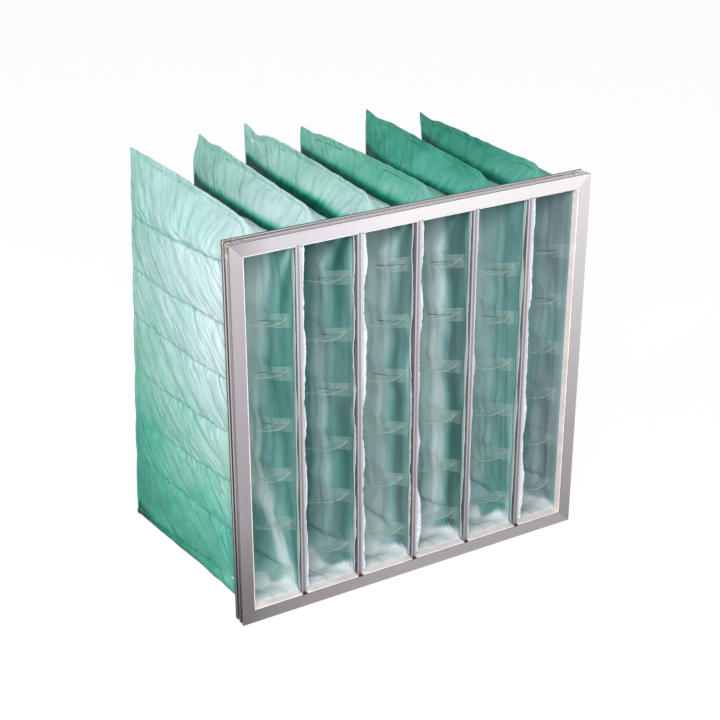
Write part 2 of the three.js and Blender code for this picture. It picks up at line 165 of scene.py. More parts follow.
# Camera: worked out from the frame's corners in the photograph.
def add_camera():
    data = bpy.data.cameras.new("camera")
    data.lens, data.sensor_width = 76.86, 36
    data.clip_start, data.clip_end = 0.05, 50
    camera = bpy.data.objects.new("camera", data)
    bpy.context.scene.collection.objects.link(camera)
    camera.location = (-1.0946, -1.89626, 1.30342)
    forward = Vector((0.45839749, 0.78097314, -0.42420831))
    camera.rotation_mode = "QUATERNION"
    camera.rotation_quaternion = forward.to_track_quat("-Z", "Y")
    bpy.context.scene.camera = camera


# Materials


def add(tree, kind, links=(), **settings):
    """Adds a node. settings whose names are inputs set them; links are (input, output socket)."""
    node = tree.nodes.new(kind)
    for name, value in settings.items():
        if hasattr(node, name):
            setattr(node, name, value)
        else:
            node.inputs[name.replace("_", " ")].default_value = value
    for key, socket in links:
        tree.links.new(node.inputs[key], socket)
    return node


def ramp(tree, source, stops):
    """A colour ramp over source; stops are (place, sRGB hex)."""
    node = add(tree, "ShaderNodeValToRGB", [("Fac", source)])
    elements = node.color_ramp.elements
    elements[0].position, elements[-1].position = stops[0][0], stops[-1][0]
    elements[0].color, elements[-1].color = hex_colour(stops[0][1]), hex_colour(stops[-1][1])
    for place, colour in stops[1:-1]:
        elements.new(place).color = hex_colour(colour)
    return node.outputs["Color"]


def math_node(tree, operation, a, b=0.0, clamp=False):
    """One step of arithmetic; a and b are numbers or sockets."""
    node = add(tree, "ShaderNodeMath", operation=operation, use_clamp=clamp)
    for key, value in ((0, a), (1, b)):
        if isinstance(value, (int, float)):
            node.inputs[key].default_value = value
        else:
            tree.links.new(node.inputs[key], value)
    return node.outputs[0]


def blend_colours(tree, share, a, b, mode="MIX"):
    """Mixes two colours, each a socket or an sRGB hex."""
    node = add(tree, "ShaderNodeMix", data_type="RGBA", blend_type=mode, clamp_factor=True)
    if isinstance(share, (int, float)):
        node.inputs["Factor"].default_value = share
    else:
        tree.links.new(node.inputs["Factor"], share)
    for key, value in ((6, a), (7, b)):
        if isinstance(value, str):
            node.inputs[key].default_value = hex_colour(value)
        else:
            tree.links.new(node.inputs[key], value)
    return node.outputs[2]


def attribute(tree, name):
    return add(tree, "ShaderNodeAttribute", attribute_name=name).outputs["Fac"]


def new_material(name):
    """A bare material and its tree, its Principled shader and its object coordinates."""
    material = bpy.data.materials.new(name)
    material.use_nodes = True
    tree = material.node_tree
    shader = next(n for n in tree.nodes if n.type == "BSDF_PRINCIPLED")
    coordinates = add(tree, "ShaderNodeTexCoord")
    return material, tree, shader, coordinates


def stretched(tree, vector, scale):
    return add(tree, "ShaderNodeMapping", [("Vector", vector)], Scale=scale).outputs[0]


def grain(tree, vector, angle, length, width):
    """Coordinates whose features are length by width, in metres, at an angle in the cloth."""
    size = (length, width, 1)
    node = add(
        tree, "ShaderNodeMapping", [("Vector", vector)], vector_type="TEXTURE",
        Rotation=(0, 0, math.radians(angle)), Scale=size,
    )
    return node.outputs[0]


def along_rails(tree, coordinates, on_end_rail, fineness, detail):
    """Noise drawn out along each rail; fineness is per metre along, through and across the rail."""
    along, through, across = fineness
    drawn = []
    for scale in ((across, through, along), (along, through, across)):
        place = stretched(tree, coordinates.outputs["Object"], scale)
        streaks = add(tree, "ShaderNodeTexNoise", [("Vector", place)], Scale=1.0, Detail=detail)
        drawn.append(streaks.outputs["Fac"])
    links = [(0, on_end_rail), (2, drawn[0]), (3, drawn[1])]
    return add(tree, "ShaderNodeMix", links, data_type="FLOAT").outputs[0]


def satin_aluminium():
    """Extruded aluminium, mill finish: drawn streaks run along each rail, and the two mitred
    neighbours catch the light differently, so that a fine line shows at each corner."""
    material, tree, shader, coordinates = new_material("satin extruded aluminium")
    place = add(tree, "ShaderNodeSeparateXYZ", [("Vector", coordinates.outputs["Object"])])
    x, z = place.outputs["X"], place.outputs["Z"]
    up = math_node(tree, "SUBTRACT", z, HALF_FACE * MM)
    across, height = math_node(tree, "ABSOLUTE", x), math_node(tree, "ABSOLUTE", up)
    on_end_rail = math_node(tree, "GREATER_THAN", height, across)
    # drawing lines about 1 mm wide and 160 mm long, and softer bands 6 mm wide
    lines = along_rails(tree, coordinates, on_end_rail, (6, 900, 900), 3.0)
    soft = along_rails(tree, coordinates, on_end_rail, (3, 60, 160), 2.0)
    level = math_node(tree, "DIVIDE", z, FACE_SIZE * MM, True)
    # painted shade and reflection: the rails grow darker low down and towards the left, and the top rail
    # lighter
    along = math_node(tree, "ADD", math_node(tree, "DIVIDE", x, FACE_SIZE * MM), 0.5, True)
    ends = ramp(tree, level, [(0.0, "#aca7aa"), (0.5, "#bab5b9"), (1.0, "#fffcfe")])
    painted_shade_left = ramp(
        tree,
        along,
        [(0.0, "#b2b2b6"), (0.1, "#e2e0e3"), (0.25, "#efebef"), (0.45, "#ffffff"), (1.0, "#ffffff")],
    )
    ends = blend_colours(tree, 1.0, ends, painted_shade_left, "MULTIPLY")
    # painted shade and reflection on the side rails as well: darker low down, and darker on the left rail
    left = ramp(
        tree,
        level,
        [
            (0.0, "#7c787b"), (0.12, "#8a8589"), (0.3, "#a8a1a6"), (0.55, "#b5aeb3"), (0.93, "#cdc6cb"),
            (1.0, "#d8d2d6"),
        ],
    )
    right = ramp(tree, level, [(0.0, "#9a9598"), (0.3, "#b1abaf"), (0.55, "#c9c4c8"), (1.0, "#eeebee")])
    sides = blend_colours(tree, math_node(tree, "GREATER_THAN", x, 0.0), left, right)
    base = blend_colours(tree, on_end_rail, sides, ends)
    streaked = blend_colours(tree, math_node(tree, "MULTIPLY", soft, 0.55), base, "#a89fa6", "MULTIPLY")
    base = blend_colours(tree, 0.25, base, streaked)
    # the outward walls: darker along the front edge, a pale land on each side of the slot, painted shade in
    # the slot and a painted shadow along the rear edge; all of it grows darker downwards, a painted shade and
    # reflection
    behind = math_node(tree, "ADD", place.outputs["Y"], TOTAL_DEPTH / 2 * MM)
    depth = math_node(tree, "DIVIDE", behind, HEADER_DEPTH * MM)
    wall = ramp(
        tree,
        depth,
        [
            (0.0, "#6f6a6a"), (0.15, "#7a7574"), (0.2, "#b9b3b3"), (0.5, "#b0aaaa"), (0.54, "#2a2626"),
            (0.7, "#241f1f"), (0.74, "#c6cac9"), (0.84, "#b4b9b8"), (0.88, "#161d1b"), (1.0, "#101514"),
        ],
    )
    # painted shade and reflection: the outward walls grow darker downwards
    painted_low_shade = ramp(tree, level, [(0.0, "#3a3838"), (0.1, "#6f6c6c"), (0.35, "#dad8d8"), (1.0, "#ffffff")])
    # hammer marks where each corner is crimped on its key
    marks = add(
        tree, "ShaderNodeTexNoise", [("Vector", coordinates.outputs["Object"])], Scale=330.0, Detail=3.0
    )
    hammered = ramp(tree, marks.outputs["Fac"], [(0.36, "#4a463c"), (0.5, "#a8a293"), (0.62, "#f4efe2")])
    nearer = math_node(tree, "MINIMUM", across, height)
    near_corner = math_node(tree, "GREATER_THAN", nearer, CRIMP_FROM * MM)
    from_middle = math_node(tree, "ABSOLUTE", math_node(tree, "SUBTRACT", depth, 0.5))
    mid_wall = math_node(tree, "LESS_THAN", from_middle, 0.36)
    crimped = math_node(tree, "MULTIPLY", near_corner, mid_wall)
    wall = blend_colours(tree, math_node(tree, "MULTIPLY", crimped, 0.8), wall, hammered)
    wall = blend_colours(tree, 1.0, wall, painted_low_shade, "MULTIPLY")
    further = math_node(tree, "MAXIMUM", across, height)
    beyond = math_node(tree, "GREATER_THAN", further, OUTWARD_FROM * MM)
    normal = add(tree, "ShaderNodeNewGeometry").outputs["Normal"]
    turned = add(tree, "ShaderNodeSeparateXYZ", [("Vector", normal)])
    forwards = math_node(tree, "ABSOLUTE", turned.outputs["Y"])
    outward = math_node(tree, "MULTIPLY", beyond, math_node(tree, "LESS_THAN", forwards, 0.6))
    base = blend_colours(tree, outward, base, wall)
    mitre = math_node(tree, "ABSOLUTE", math_node(tree, "SUBTRACT", across, height))
    on_mitre = math_node(tree, "LESS_THAN", mitre, 0.4 * MM)
    base = blend_colours(tree, math_node(tree, "MULTIPLY", on_mitre, 0.45), base, "#6f6a70")
    tree.links.new(shader.inputs["Base Color"], base)
    metal = math_node(tree, "SUBTRACT", 1.0, math_node(tree, "MULTIPLY", outward, 0.6))
    tree.links.new(shader.inputs["Metallic"], metal)
    rough = add(tree, "ShaderNodeMapRange", [("Value", lines)], To_Min=0.3, To_Max=0.46)
    tree.links.new(shader.inputs["Roughness"], rough.outputs[0])
    bump = add(tree, "ShaderNodeBump", [("Height", lines)], Strength=0.12, Distance=0.0002)
    tree.links.new(shader.inputs["Normal"], bump.outputs[0])
    return material


def bar_aluminium():
    """Roll-formed aluminium strip: one land satin grey, painted shade in its groove, and a bright land beside
    it, with painted shade on the side walls and towards the bottom, and fine upright rolling lines."""
    material, tree, shader, coordinates = new_material("roll-formed aluminium strip")
    place = add(tree, "ShaderNodeSeparateXYZ", [("Vector", coordinates.outputs["Object"])])
    # place across the nearest bar, from 0 at its left edge to 1 at its right
    shifted = math_node(tree, "ADD", place.outputs["X"], PITCH * (POCKETS - 0.5) * MM)
    within = math_node(tree, "FLOORED_MODULO", shifted, PITCH * MM)
    off = math_node(tree, "SUBTRACT", within, (PITCH / 2 - BAR_HALF) * MM)
    share = math_node(tree, "DIVIDE", off, 2 * BAR_HALF * MM)
    # painted shade in the groove between the two lands
    profile = ramp(
        tree,
        share,
        [
            (0.0, "#e6e5e8"), (0.1, "#edecef"), (0.42, "#e6e4e7"), (0.5, "#b8b5b9"), (0.62, "#bebbbf"),
            (0.68, "#fcfafd"), (0.9, "#ffffff"), (1.0, "#fdfcfe"),
        ],
    )
    # painted shade on the bar's side walls, which face sideways
    turned = add(tree, "ShaderNodeNewGeometry").outputs["Normal"]
    sideways = math_node(
        tree, "ABSOLUTE", add(tree, "ShaderNodeSeparateXYZ", [("Vector", turned)]).outputs["X"]
    )
    walls = math_node(tree, "GREATER_THAN", sideways, 0.6)
    profile = blend_colours(tree, walls, profile, "#8b898b")
    upright = stretched(tree, coordinates.outputs["Object"], (1200, 900, 5))
    lines = add(tree, "ShaderNodeTexNoise", [("Vector", upright)], Scale=1.0, Detail=3.0)
    drawn = ramp(tree, lines.outputs["Fac"], [(0.3, "#d8d4d6"), (0.55, "#efecee"), (0.8, "#ffffff")])
    # painted shade: the bars grow darker towards the bottom
    level = math_node(tree, "DIVIDE", place.outputs["Z"], FACE_SIZE * MM, True)
    lift = ramp(tree, level, [(0.0, "#cac8ca"), (0.35, "#e2e0e2"), (0.65, "#f3f2f3"), (1.0, "#ffffff")])
    base = blend_colours(tree, 1.0, profile, drawn, "MULTIPLY")
    tree.links.new(shader.inputs["Base Color"], blend_colours(tree, 1.0, base, lift, "MULTIPLY"))
    metal = math_node(tree, "SUBTRACT", 1.0, math_node(tree, "MULTIPLY", walls, 0.7))
    tree.links.new(shader.inputs["Metallic"], metal)
    shader.inputs["Roughness"].default_value = 0.42
    bump = add(tree, "ShaderNodeBump", [("Height", lines.outputs["Fac"])], Strength=0.1, Distance=0.0002)
    tree.links.new(shader.inputs["Normal"], bump.outputs[0])
    return material


def galvanised_steel():
    """Hot-dip galvanised key: 4 mm zinc spangle, patchy and a little warm."""
    material, tree, shader, coordinates = new_material("galvanised steel")
    spangle = add(
        tree, "ShaderNodeTexVoronoi", [("Vector", coordinates.outputs["Object"])], Scale=260.0
    )
    patches = add(
        tree, "ShaderNodeTexNoise", [("Vector", coordinates.outputs["Object"])], Scale=120.0, Detail=4.0
    )
    value = add(tree, "ShaderNodeSeparateColor", [("Color", spangle.outputs["Color"])]).outputs[0]
    colour = ramp(tree, value, [(0.0, "#8f8e88"), (0.5, "#b9b7b0"), (1.0, "#dcdad2")])
    dull = ramp(tree, patches.outputs["Fac"], [(0.35, "#77756e"), (0.65, "#ffffff")])
    tree.links.new(shader.inputs["Base Color"], blend_colours(tree, 0.7, colour, dull, "MULTIPLY"))
    shader.inputs["Metallic"].default_value = 1.0
    rough = add(tree, "ShaderNodeMapRange", [("Value", value)], To_Min=0.3, To_Max=0.55)
    tree.links.new(shader.inputs["Roughness"], rough.outputs[0])
    bump = add(
        tree, "ShaderNodeBump", [("Height", patches.outputs["Fac"])], Strength=0.35, Distance=0.0008
    )
    tree.links.new(shader.inputs["Normal"], bump.outputs[0])
    return material


def cream_strip():
    """Unpainted PVC strip: warm white, matt, a little uneven where the cloth rubs it."""
    material, tree, shader, coordinates = new_material("matt cream PVC")
    smudge = add(
        tree, "ShaderNodeTexNoise", [("Vector", coordinates.outputs["Object"])], Scale=45.0, Detail=5.0
    )
    colour = ramp(tree, smudge.outputs["Fac"], [(0.3, "#e4d9d6"), (0.5, "#efe6e3"), (0.7, "#f8f1ef")])
    tree.links.new(shader.inputs["Base Color"], colour)
    shader.inputs["Roughness"].default_value = 0.55
    bump = add(
        tree, "ShaderNodeBump", [("Height", smudge.outputs["Fac"])], Strength=0.15, Distance=0.0006
    )
    tree.links.new(shader.inputs["Normal"], bump.outputs[0])
    return material


def spunbond_cloth():
    """Polypropylene fibre cloth, dyed green outside and paler within, where the greens and greys of the walls
    are
    painted light and shade: a satin sheen that catches on its small creases, a random web of 0.8 mm fibre
    bundles, light that seeps through from the other side, a darker line where a seam pulls it in, and a
    near-white sole."""
    material, tree, shader, coordinates = new_material("green spunbond fibre cloth")
    cloth = coordinates.outputs["UV"]
    web = add(tree, "ShaderNodeTexNoise", [("Vector", cloth)], Scale=1200.0, Detail=3.0)
    clouds = add(tree, "ShaderNodeTexNoise", [("Vector", cloth)], Scale=38.0, Detail=5.0, Roughness=0.6)
    # creases 11 mm apart and up to 70 mm long that run forwards and down, and broader ones 24 mm
    # apart at a steeper lean
    small = add(
        tree, "ShaderNodeTexNoise", [("Vector", grain(tree, cloth, -30, 0.07, 0.011))],
        Scale=1.0, Detail=2.0, Distortion=0.6,
    )
    broad = add(
        tree, "ShaderNodeTexNoise", [("Vector", grain(tree, cloth, -40, 0.12, 0.024))],
        Scale=1.0, Detail=2.0, Distortion=1.0,
    )
    uneven = math_node(tree, "SUBTRACT", clouds.outputs["Fac"], 0.5)
    depth = math_node(tree, "ADD", attribute(tree, "tone"), math_node(tree, "MULTIPLY", uneven, 0.3))
    outside = ramp(
        tree,
        depth,
        [
            (0.0, "#dfedf0"), (0.2, "#c1dedd"), (0.4, "#99ccc1"), (0.6, "#60b8a4"), (0.8, "#24917a"),
            (0.92, "#00654e"), (1.0, "#004d3a"),
        ],
    )
    seam = math_node(tree, "MULTIPLY", attribute(tree, "seam"), 0.5)
    outside = blend_colours(tree, seam, outside, "#4a9888")
    # painted light and shade: soft upright bands down the inner walls
    drawn = stretched(tree, cloth, (55, 14, 1))
    streaks = add(tree, "ShaderNodeTexNoise", [("Vector", drawn)], Scale=1.0, Detail=4.0)
    wave = math_node(tree, "SUBTRACT", streaks.outputs["Fac"], 0.5)
    inner = math_node(tree, "ADD", attribute(tree, "tone"), math_node(tree, "MULTIPLY", wave, 0.35))
    inside = ramp(
        tree,
        inner,
        [(0.0, "#e9f9f8"), (0.3, "#b6dddb"), (0.55, "#84bab5"), (0.8, "#50938a"), (1.0, "#266b5f")],
    )
    inside = blend_colours(tree, attribute(tree, "grey"), inside, "#a2adb6")
    # where a tape is sewn to the wall, its gauze lies against it in a pale band with brighter edges
    rung, sewn = attribute(tree, "rung"), attribute(tree, "sewn")
    band = add(tree, "ShaderNodeMapRange", [("Value", rung)], From_Min=11.0, From_Max=8.0).outputs[0]
    band = math_node(tree, "MULTIPLY", math_node(tree, "MULTIPLY", band, sewn), 0.22)
    inside = blend_colours(tree, band, inside, "#dbe8e6")
    rim = math_node(tree, "ABSOLUTE", math_node(tree, "SUBTRACT", rung, 10.0))
    rim = add(tree, "ShaderNodeMapRange", [("Value", rim)], From_Min=1.4, From_Max=0.2).outputs[0]
    rim = math_node(tree, "MULTIPLY", math_node(tree, "MULTIPLY", rim, sewn), 0.2)
    inside = blend_colours(tree, rim, inside, "#eef6f5")
    within = attribute(tree, "inside")
    colour = blend_colours(tree, within, outside, inside)
    blue = ramp(tree, clouds.outputs["Fac"], [(0.35, "#dfe8ee"), (0.6, "#f7fafb")])
    colour = blend_colours(tree, attribute(tree, "white"), colour, blue)
    # the sole is sewn along its middle in a fine dark tuck
    middle = attribute(tree, "seam")
    tuck = add(tree, "ShaderNodeMapRange", [("Value", middle)], From_Min=0.84, From_Max=0.97).outputs[0]
    tuck = math_node(tree, "MULTIPLY", math_node(tree, "MULTIPLY", tuck, within), 0.7)
    colour = blend_colours(tree, tuck, colour, "#66797c")
    fibres = ramp(tree, web.outputs["Fac"], [(0.3, "#e2e8e6"), (0.6, "#ffffff")])
    colour = blend_colours(tree, 1.0, colour, fibres, "MULTIPLY")
    tree.links.new(shader.inputs["Base Color"], colour)
    rough = add(tree, "ShaderNodeMapRange", [("Value", clouds.outputs["Fac"])], To_Min=0.42, To_Max=0.6)
    tree.links.new(shader.inputs["Roughness"], rough.outputs[0])
    shader.inputs["Specular IOR Level"].default_value = 0.1
    shader.inputs["Sheen Weight"].default_value = 0.02
    shader.inputs["Sheen Roughness"].default_value = 0.5
    creased = math_node(
        tree, "ADD", math_node(tree, "MULTIPLY", small.outputs["Fac"], 0.7),
        math_node(tree, "MULTIPLY", broad.outputs["Fac"], 2.6),
    )
    relief = math_node(tree, "MULTIPLY", creased, math_node(tree, "SUBTRACT", 1.15, within))
    folds = add(tree, "ShaderNodeBump", [("Height", relief)], Strength=0.75, Distance=0.004)
    bump = add(
        tree, "ShaderNodeBump", [("Height", web.outputs["Fac"]), ("Normal", folds.outputs[0])],
        Strength=0.2, Distance=0.0003,
    )
    tree.links.new(shader.inputs["Normal"], bump.outputs[0])
    seep = add(tree, "ShaderNodeBsdfTranslucent", [("Color", colour), ("Normal", bump.outputs[0])])
    thin = add(tree, "ShaderNodeMapRange", [("Value", within)], To_Min=0.3, To_Max=0.12).outputs[0]
    mixed = add(tree, "ShaderNodeMixShader", [(0, thin), (1, shader.outputs[0]), (2, seep.outputs[0])])
    output = next(n for n in tree.nodes if n.type == "OUTPUT_MATERIAL")
    tree.links.new(output.inputs["Surface"], mixed.outputs[0])
    return material


def white_hem():
    """Raw cut edge of the same cloth on its undyed face: fluffy white with a faint cool shade."""
    material, tree, shader, coordinates = new_material("undyed fibre hem")
    fluff = add(
        tree, "ShaderNodeTexNoise", [("Vector", coordinates.outputs["Object"])], Scale=420.0, Detail=5.0
    )
    colour = ramp(tree, fluff.outputs["Fac"], [(0.3, "#b7bfc8"), (0.5, "#d0d6dd"), (0.7, "#e6eaf0")])
    colour = blend_colours(tree, attribute(tree, "mint"), colour, "#9fbab2")
    tree.links.new(shader.inputs["Base Color"], colour)
    shader.inputs["Roughness"].default_value = 0.85
    bump = add(
        tree, "ShaderNodeBump", [("Height", fluff.outputs["Fac"])], Strength=0.25, Distance=0.0006
    )
    tree.links.new(shader.inputs["Normal"], bump.outputs[0])
    return material


def gauze_tape():
    """Thin spunbond tape: milky and slightly see-through, whiter towards its cut front edge."""
    material, tree, shader, coordinates = new_material("thin spunbond tape")
    drawn = stretched(tree, coordinates.outputs["UV"], (240, 60, 1))
    fibres = add(tree, "ShaderNodeTexNoise", [("Vector", drawn)], Scale=1.0, Detail=4.0)
    value = math_node(tree, "MULTIPLY", fibres.outputs["Fac"], 0.17)
    value = math_node(tree, "ADD", value, math_node(tree, "MULTIPLY", attribute(tree, "edge"), 0.55))
    colour = ramp(tree, value, [(0.1, "#a9ccc4"), (0.3, "#c6dcd7"), (0.6, "#e9f1f0")])
    tree.links.new(shader.inputs["Base Color"], colour)
    shader.inputs["Roughness"].default_value = 0.7
    clear = add(tree, "ShaderNodeMapRange", [("Value", value)], To_Min=0.03, To_Max=0.85)
    tree.links.new(shader.inputs["Alpha"], clear.outputs[0])
    return material


def polyester_thread(name, dark, light):
    """Spun polyester sewing thread: dull, twisted, a touch darker than the cloth it pulls in."""
    material, tree, shader, coordinates = new_material(name)
    twist = add(
        tree, "ShaderNodeTexNoise", [("Vector", coordinates.outputs["Object"])], Scale=900.0, Detail=2.0
    )
    colour = ramp(tree, twist.outputs["Fac"], [(0.3, dark), (0.7, light)])
    tree.links.new(shader.inputs["Base Color"], colour)
    shader.inputs["Roughness"].default_value = 0.75
    return material


# Pocket cloth


def seam_height(pocket, seam, f):
    low = -CLOTH_OUTER + LOW_SEAM_MARGIN
    high = CLOTH_OUTER - TOP_SEAM_MARGIN
    last = SEAMS - 1
    pull = np.minimum(seam / (last - 1), last - seam)
    sag = np.interp(seam, range(SEAMS), SEAM_SAG)
    drop = pocket["drop"] * np.minimum(last - seam, 1)
    return lerp(low, high, seam / last) + pocket["lift"] * pull - drop - sag * f


# Levels down one side of a pocket: fin, flank, panels between the seams, and sole. Each is the
# zone's number and the place within it.
FIN, FLANK, PANEL, SOLE = range(4)
CORNER_TURN = 0.7
CORNER_SOLE = 0.43


def side_levels(fine):
    counts = {FIN: 4, FLANK: 10 * fine, PANEL: 36 * fine, SOLE: 8 * fine}
    zones, places = [], []
    for zone, count in counts.items():
        start, end = (SEAMS - 1, 0) if zone == PANEL else (0, 1)
        along = np.linspace(start, end, count + 1)
        along = along if zone == SOLE else along[:-1]
        zones += [zone] * len(along)
        places += list(along)
    return np.array(zones), np.array(places)


def half_width(f):
    """Half the pocket's thickness at share f of its length, ending in the flat rear hem."""
    f = np.minimum(f * POCKET_LENGTH / (POCKET_LENGTH - REAR_HEM), 1)
    return TIP_HALF_WIDTH / 2 + (POCKET_HALF_WIDTH - TIP_HALF_WIDTH / 2) * (1 - f**TAPER_POWER) ** TAPER_ROUND


def body_section(pocket, zones, places, f, inset):
    """Half widths and heights behind the frame. f is a column, and the levels are a row."""
    wide = np.maximum(half_width(f) - inset, 0.5)
    pinch = SEAM_PINCH * wide / POCKET_HALF_WIDTH * (0.75 if inset else 1)
    dip = pocket["dip"] * np.exp(-(((f - 0.91) / 0.055) ** 2))
    ridge = HALF_FACE + lerp(RIDGE_RISE, pocket["rise"], f) - dip
    if inset:
        ridge = ridge - INNER_RIDGE_DROP
    foot = ridge - FIN_HEIGHT
    floor = -HALF_FACE + inset
    top_seam, low_seam = seam_height(pocket, SEAMS - 1, f), seam_height(pocket, 0, f)
    fin_half = FIN_HALF_WIDTH if inset == 0 else 0.5
    shape = np.broadcast_shapes(f.shape, zones.shape)
    half, height = np.zeros(shape), np.zeros(shape)
    t = np.broadcast_to(places, shape)
    zone = np.broadcast_to(zones, shape)
    wide, pinch, foot, ridge, top_seam, low_seam = (
        np.broadcast_to(a, shape) for a in (wide, pinch, foot, ridge, top_seam, low_seam)
    )

    m = zone == FIN
    half[m], height[m] = fin_half, lerp(ridge[m], foot[m], t[m])
    m = zone == FLANK
    swell = np.maximum(wide[m] * np.sin(t[m] * np.pi / 2), fin_half)
    half[m] = swell - pinch[m] * ease(t[m], 0.72, 1) ** 2
    height[m] = lerp(foot[m], top_seam[m], t[m] ** 1.4)
    m = zone == PANEL
    bulge = np.abs(np.sin(t[m] * np.pi)) ** (1.0 if inset else 0.5)
    half[m] = wide[m] - pinch[m] * (1 - bulge)
    height[m] = seam_height(pocket, t[m], np.broadcast_to(f, shape)[m])
    m = zone == SOLE
    turn = t[m] * np.pi / 2
    half[m] = wide[m] * np.maximum(np.cos(turn), 0) ** 0.6 - pinch[m] * (1 - ease(t[m], 0, 0.2)) ** 2
    height[m] = lerp(low_seam[m], floor, np.sin(turn) ** 1.285)
    return np.maximum(half, 0), height


def mouth_section(pocket, zones, places, inset):
    """Half widths and heights on the rectangular mouth."""
    wide = (pocket["right"] - pocket["left"]) / 2 - inset
    high = CLOTH_OUTER - inset
    top, low = seam_height(pocket, SEAMS - 1, 0), seam_height(pocket, 0, 0)
    t = places
    half = np.select(
        [zones == FIN, zones == FLANK, zones == PANEL, t < CORNER_SOLE],
        [
            lerp(0.14, 0.45, t),
            np.minimum(lerp(0.45, 1, t / CORNER_TURN), 1),
            1.0,
            1.0,
        ],
        (1 - t) / (1 - CORNER_SOLE),
    )
    height = np.select(
        [zones == FIN, zones == FLANK, zones == PANEL, t < CORNER_SOLE],
        [
            high,
            np.where(t < CORNER_TURN, high, lerp(high, top, (t - CORNER_TURN) / (1 - CORNER_TURN))),
            seam_height(pocket, t, 0),
            lerp(low, -high, t / CORNER_SOLE),
        ],
        -high,
    )
    return half * wide, height


def seam_closeness(zones, places):
    """1 on a seam and 0 half way between two, for each level."""
    near = np.where(zones == PANEL, np.abs(np.cos(places * np.pi)), 0.0)
    near = np.where(zones == FLANK, ease(places, 0.5, 1), near)
    return np.where(zones == SOLE, 1 - ease(places, 0, 0.3), near)


def skin_sheet(pocket, side, zones, places, f, inner):
    """Points of one side of a pocket's skin, one row for each share f of its length."""
    f = f[:, None]
    inset = WALL_CLOTH if inner else 0
    mouth_half, mouth_height = mouth_section(pocket, zones, places, MOUTH_CLOTH if inner else 0)
    body_half, body_height = body_section(pocket, zones, places, f, inset)
    blend = ease(f * POCKET_LENGTH, 0, SHOULDER_RUN)
    height = lerp(mouth_height, body_height, blend)
    rise = (height + HALF_FACE) / FACE_SIZE
    drift = lerp(pocket["foot"], pocket["top"], rise) * f * f
    drift = drift + pocket["bow"] * f**3 * ease(1.04 - rise, 0, 0.07) * ease(rise, 0.6, 0.85)
    middle = lerp((pocket["left"] + pocket["right"]) / 2, pocket["middle"], blend) + drift
    scallop = SCALLOP * seam_closeness(zones, places) ** 6
    slant = REAR_EDGE_SLANT * (1 - rise) + scallop
    depth = HEADER_DEPTH + (POCKET_LENGTH - np.maximum(slant, 0)) * f
    return np.stack([middle + side * lerp(mouth_half, body_half, blend), depth, height], axis=-1)


def facing(points, side):
    """Unit normals of a sheet of points, outwards from the pocket."""
    across = np.gradient(points, axis=1)
    along = np.gradient(points, axis=0)
    normal = np.cross(along, across) * -side
    return normal / np.maximum(np.linalg.norm(normal, axis=-1, keepdims=True), 1e-9)


def run_down(points):
    """Distance down the section to each point."""
    steps = np.linalg.norm(np.diff(points, axis=1), axis=-1)
    return np.concatenate([np.zeros((len(points), 1)), np.cumsum(steps, axis=1)], axis=1)


def outer_wrinkles(pocket, side, points, zones, places):
    """How far each point of the outer skin stands out, in millimetres."""
    seed = pocket["index"] * 10 + (3 if side > 0 else 0)
    depth, down = points[..., 1], run_down(points)
    near = np.broadcast_to(seam_closeness(zones, places), depth.shape)
    # long creases run forwards and down, steeper at the rear; on the flank they curl to the ridge
    on_flank = (zones == FLANK) | (zones == FIN)
    lean = np.where(on_flank, 62 + 18 * places, 24 + 16 * ease(depth, 120, 380))
    lean = np.radians(lean)
    warp = 10 * noise(depth / 70, down / 60, seed + 1)
    across = depth * np.sin(lean) + down * np.cos(lean) + warp
    along = -depth * np.cos(lean) + down * np.sin(lean)
    patch = np.clip(0.65 + 0.6 * noise(depth / 80, down / 70, seed + 2), 0.15, 1.2)
    folds = crease(across / 15, along / 110, seed + 3) * (2.1 if pocket["index"] == 0 else 1.7) * patch
    lines = crease(across / 8, along / 50, seed + 4) * 0.55 * patch
    puckers = crease(depth / 8, down / 50, seed + 5) * near**3 * 1.2
    swell = noise(depth / 75, down / 60, seed + 6) * 2.2
    dent = noise(depth / 30, down / 26, seed + 7) * 1.2
    # the ridge and the rear hem are stitched flat
    reach = (depth - HEADER_DEPTH) / (depth[-1:] - HEADER_DEPTH)
    calm = np.where(zones == FIN, 0.15, 1.0) * ease(depth, HEADER_DEPTH, HEADER_DEPTH + 24)
    calm = calm * (1 - 0.85 * ease(reach, 0.88, 0.98))
    return np.clip(folds + lines + puckers + swell + dent, -2.6, 5.5) * calm


def corner_creases(pocket, depth, down):
    """Folds that fan out down the right-hand wall from the mouth's upper corner, from -1 to 1: a
    crest with a valley in front of it."""
    angle = np.degrees(np.arctan2(down + 4, np.maximum(depth - 2, 1)))
    folds = np.zeros(depth.shape)
    for crest in pocket["fan"]:
        folds += np.exp(-(((angle - crest) / 4) ** 2))
        folds -= 0.8 * np.exp(-(((angle - crest - 10) / 5) ** 2))
    return folds * np.exp(-((down / 85) ** 2)) * ease(down, 2, 14)


def inner_wrinkles(pocket, side, points, zones, places):
    """How far each point of the inner skin stands into the pocket, in millimetres."""
    seed = pocket["index"] * 10 + 207 + (3 if side > 0 else 0)
    depth, down = points[..., 1], run_down(points)
    upright = noise(depth / 24 + down / 400, down / 190, seed) * 3.2
    fine = crease(depth / 11 + down / 300, down / 120, seed + 1) * 0.9
    corner = corner_creases(pocket, depth, down) * 3
    return np.clip(upright + fine + corner, -1.5, 7) * ease(depth, 18, 42)


def displaced(pocket, points, normal, push, zones, places):
    """Points moved outwards by push. On the sole the moves turn upright and become the same on
    both sides, so that the cloth stays closed along its middle."""
    turn = np.where(zones == SOLE, ease(places, 0, 0.5), 0)[:, None]
    across, depth = points[..., :1], points[..., 1:2]
    folds = crease(depth / 34 + across / 60, across / 40, pocket["index"] * 10 + 211)
    billow = (folds * 1.2 + noise(depth / 40, across / 30, pocket["index"] * 10 + 212)) * ease(depth, 18, 42)
    return points + lerp(normal * push[..., None], np.array([0, 0, 1.0]) * billow, turn)


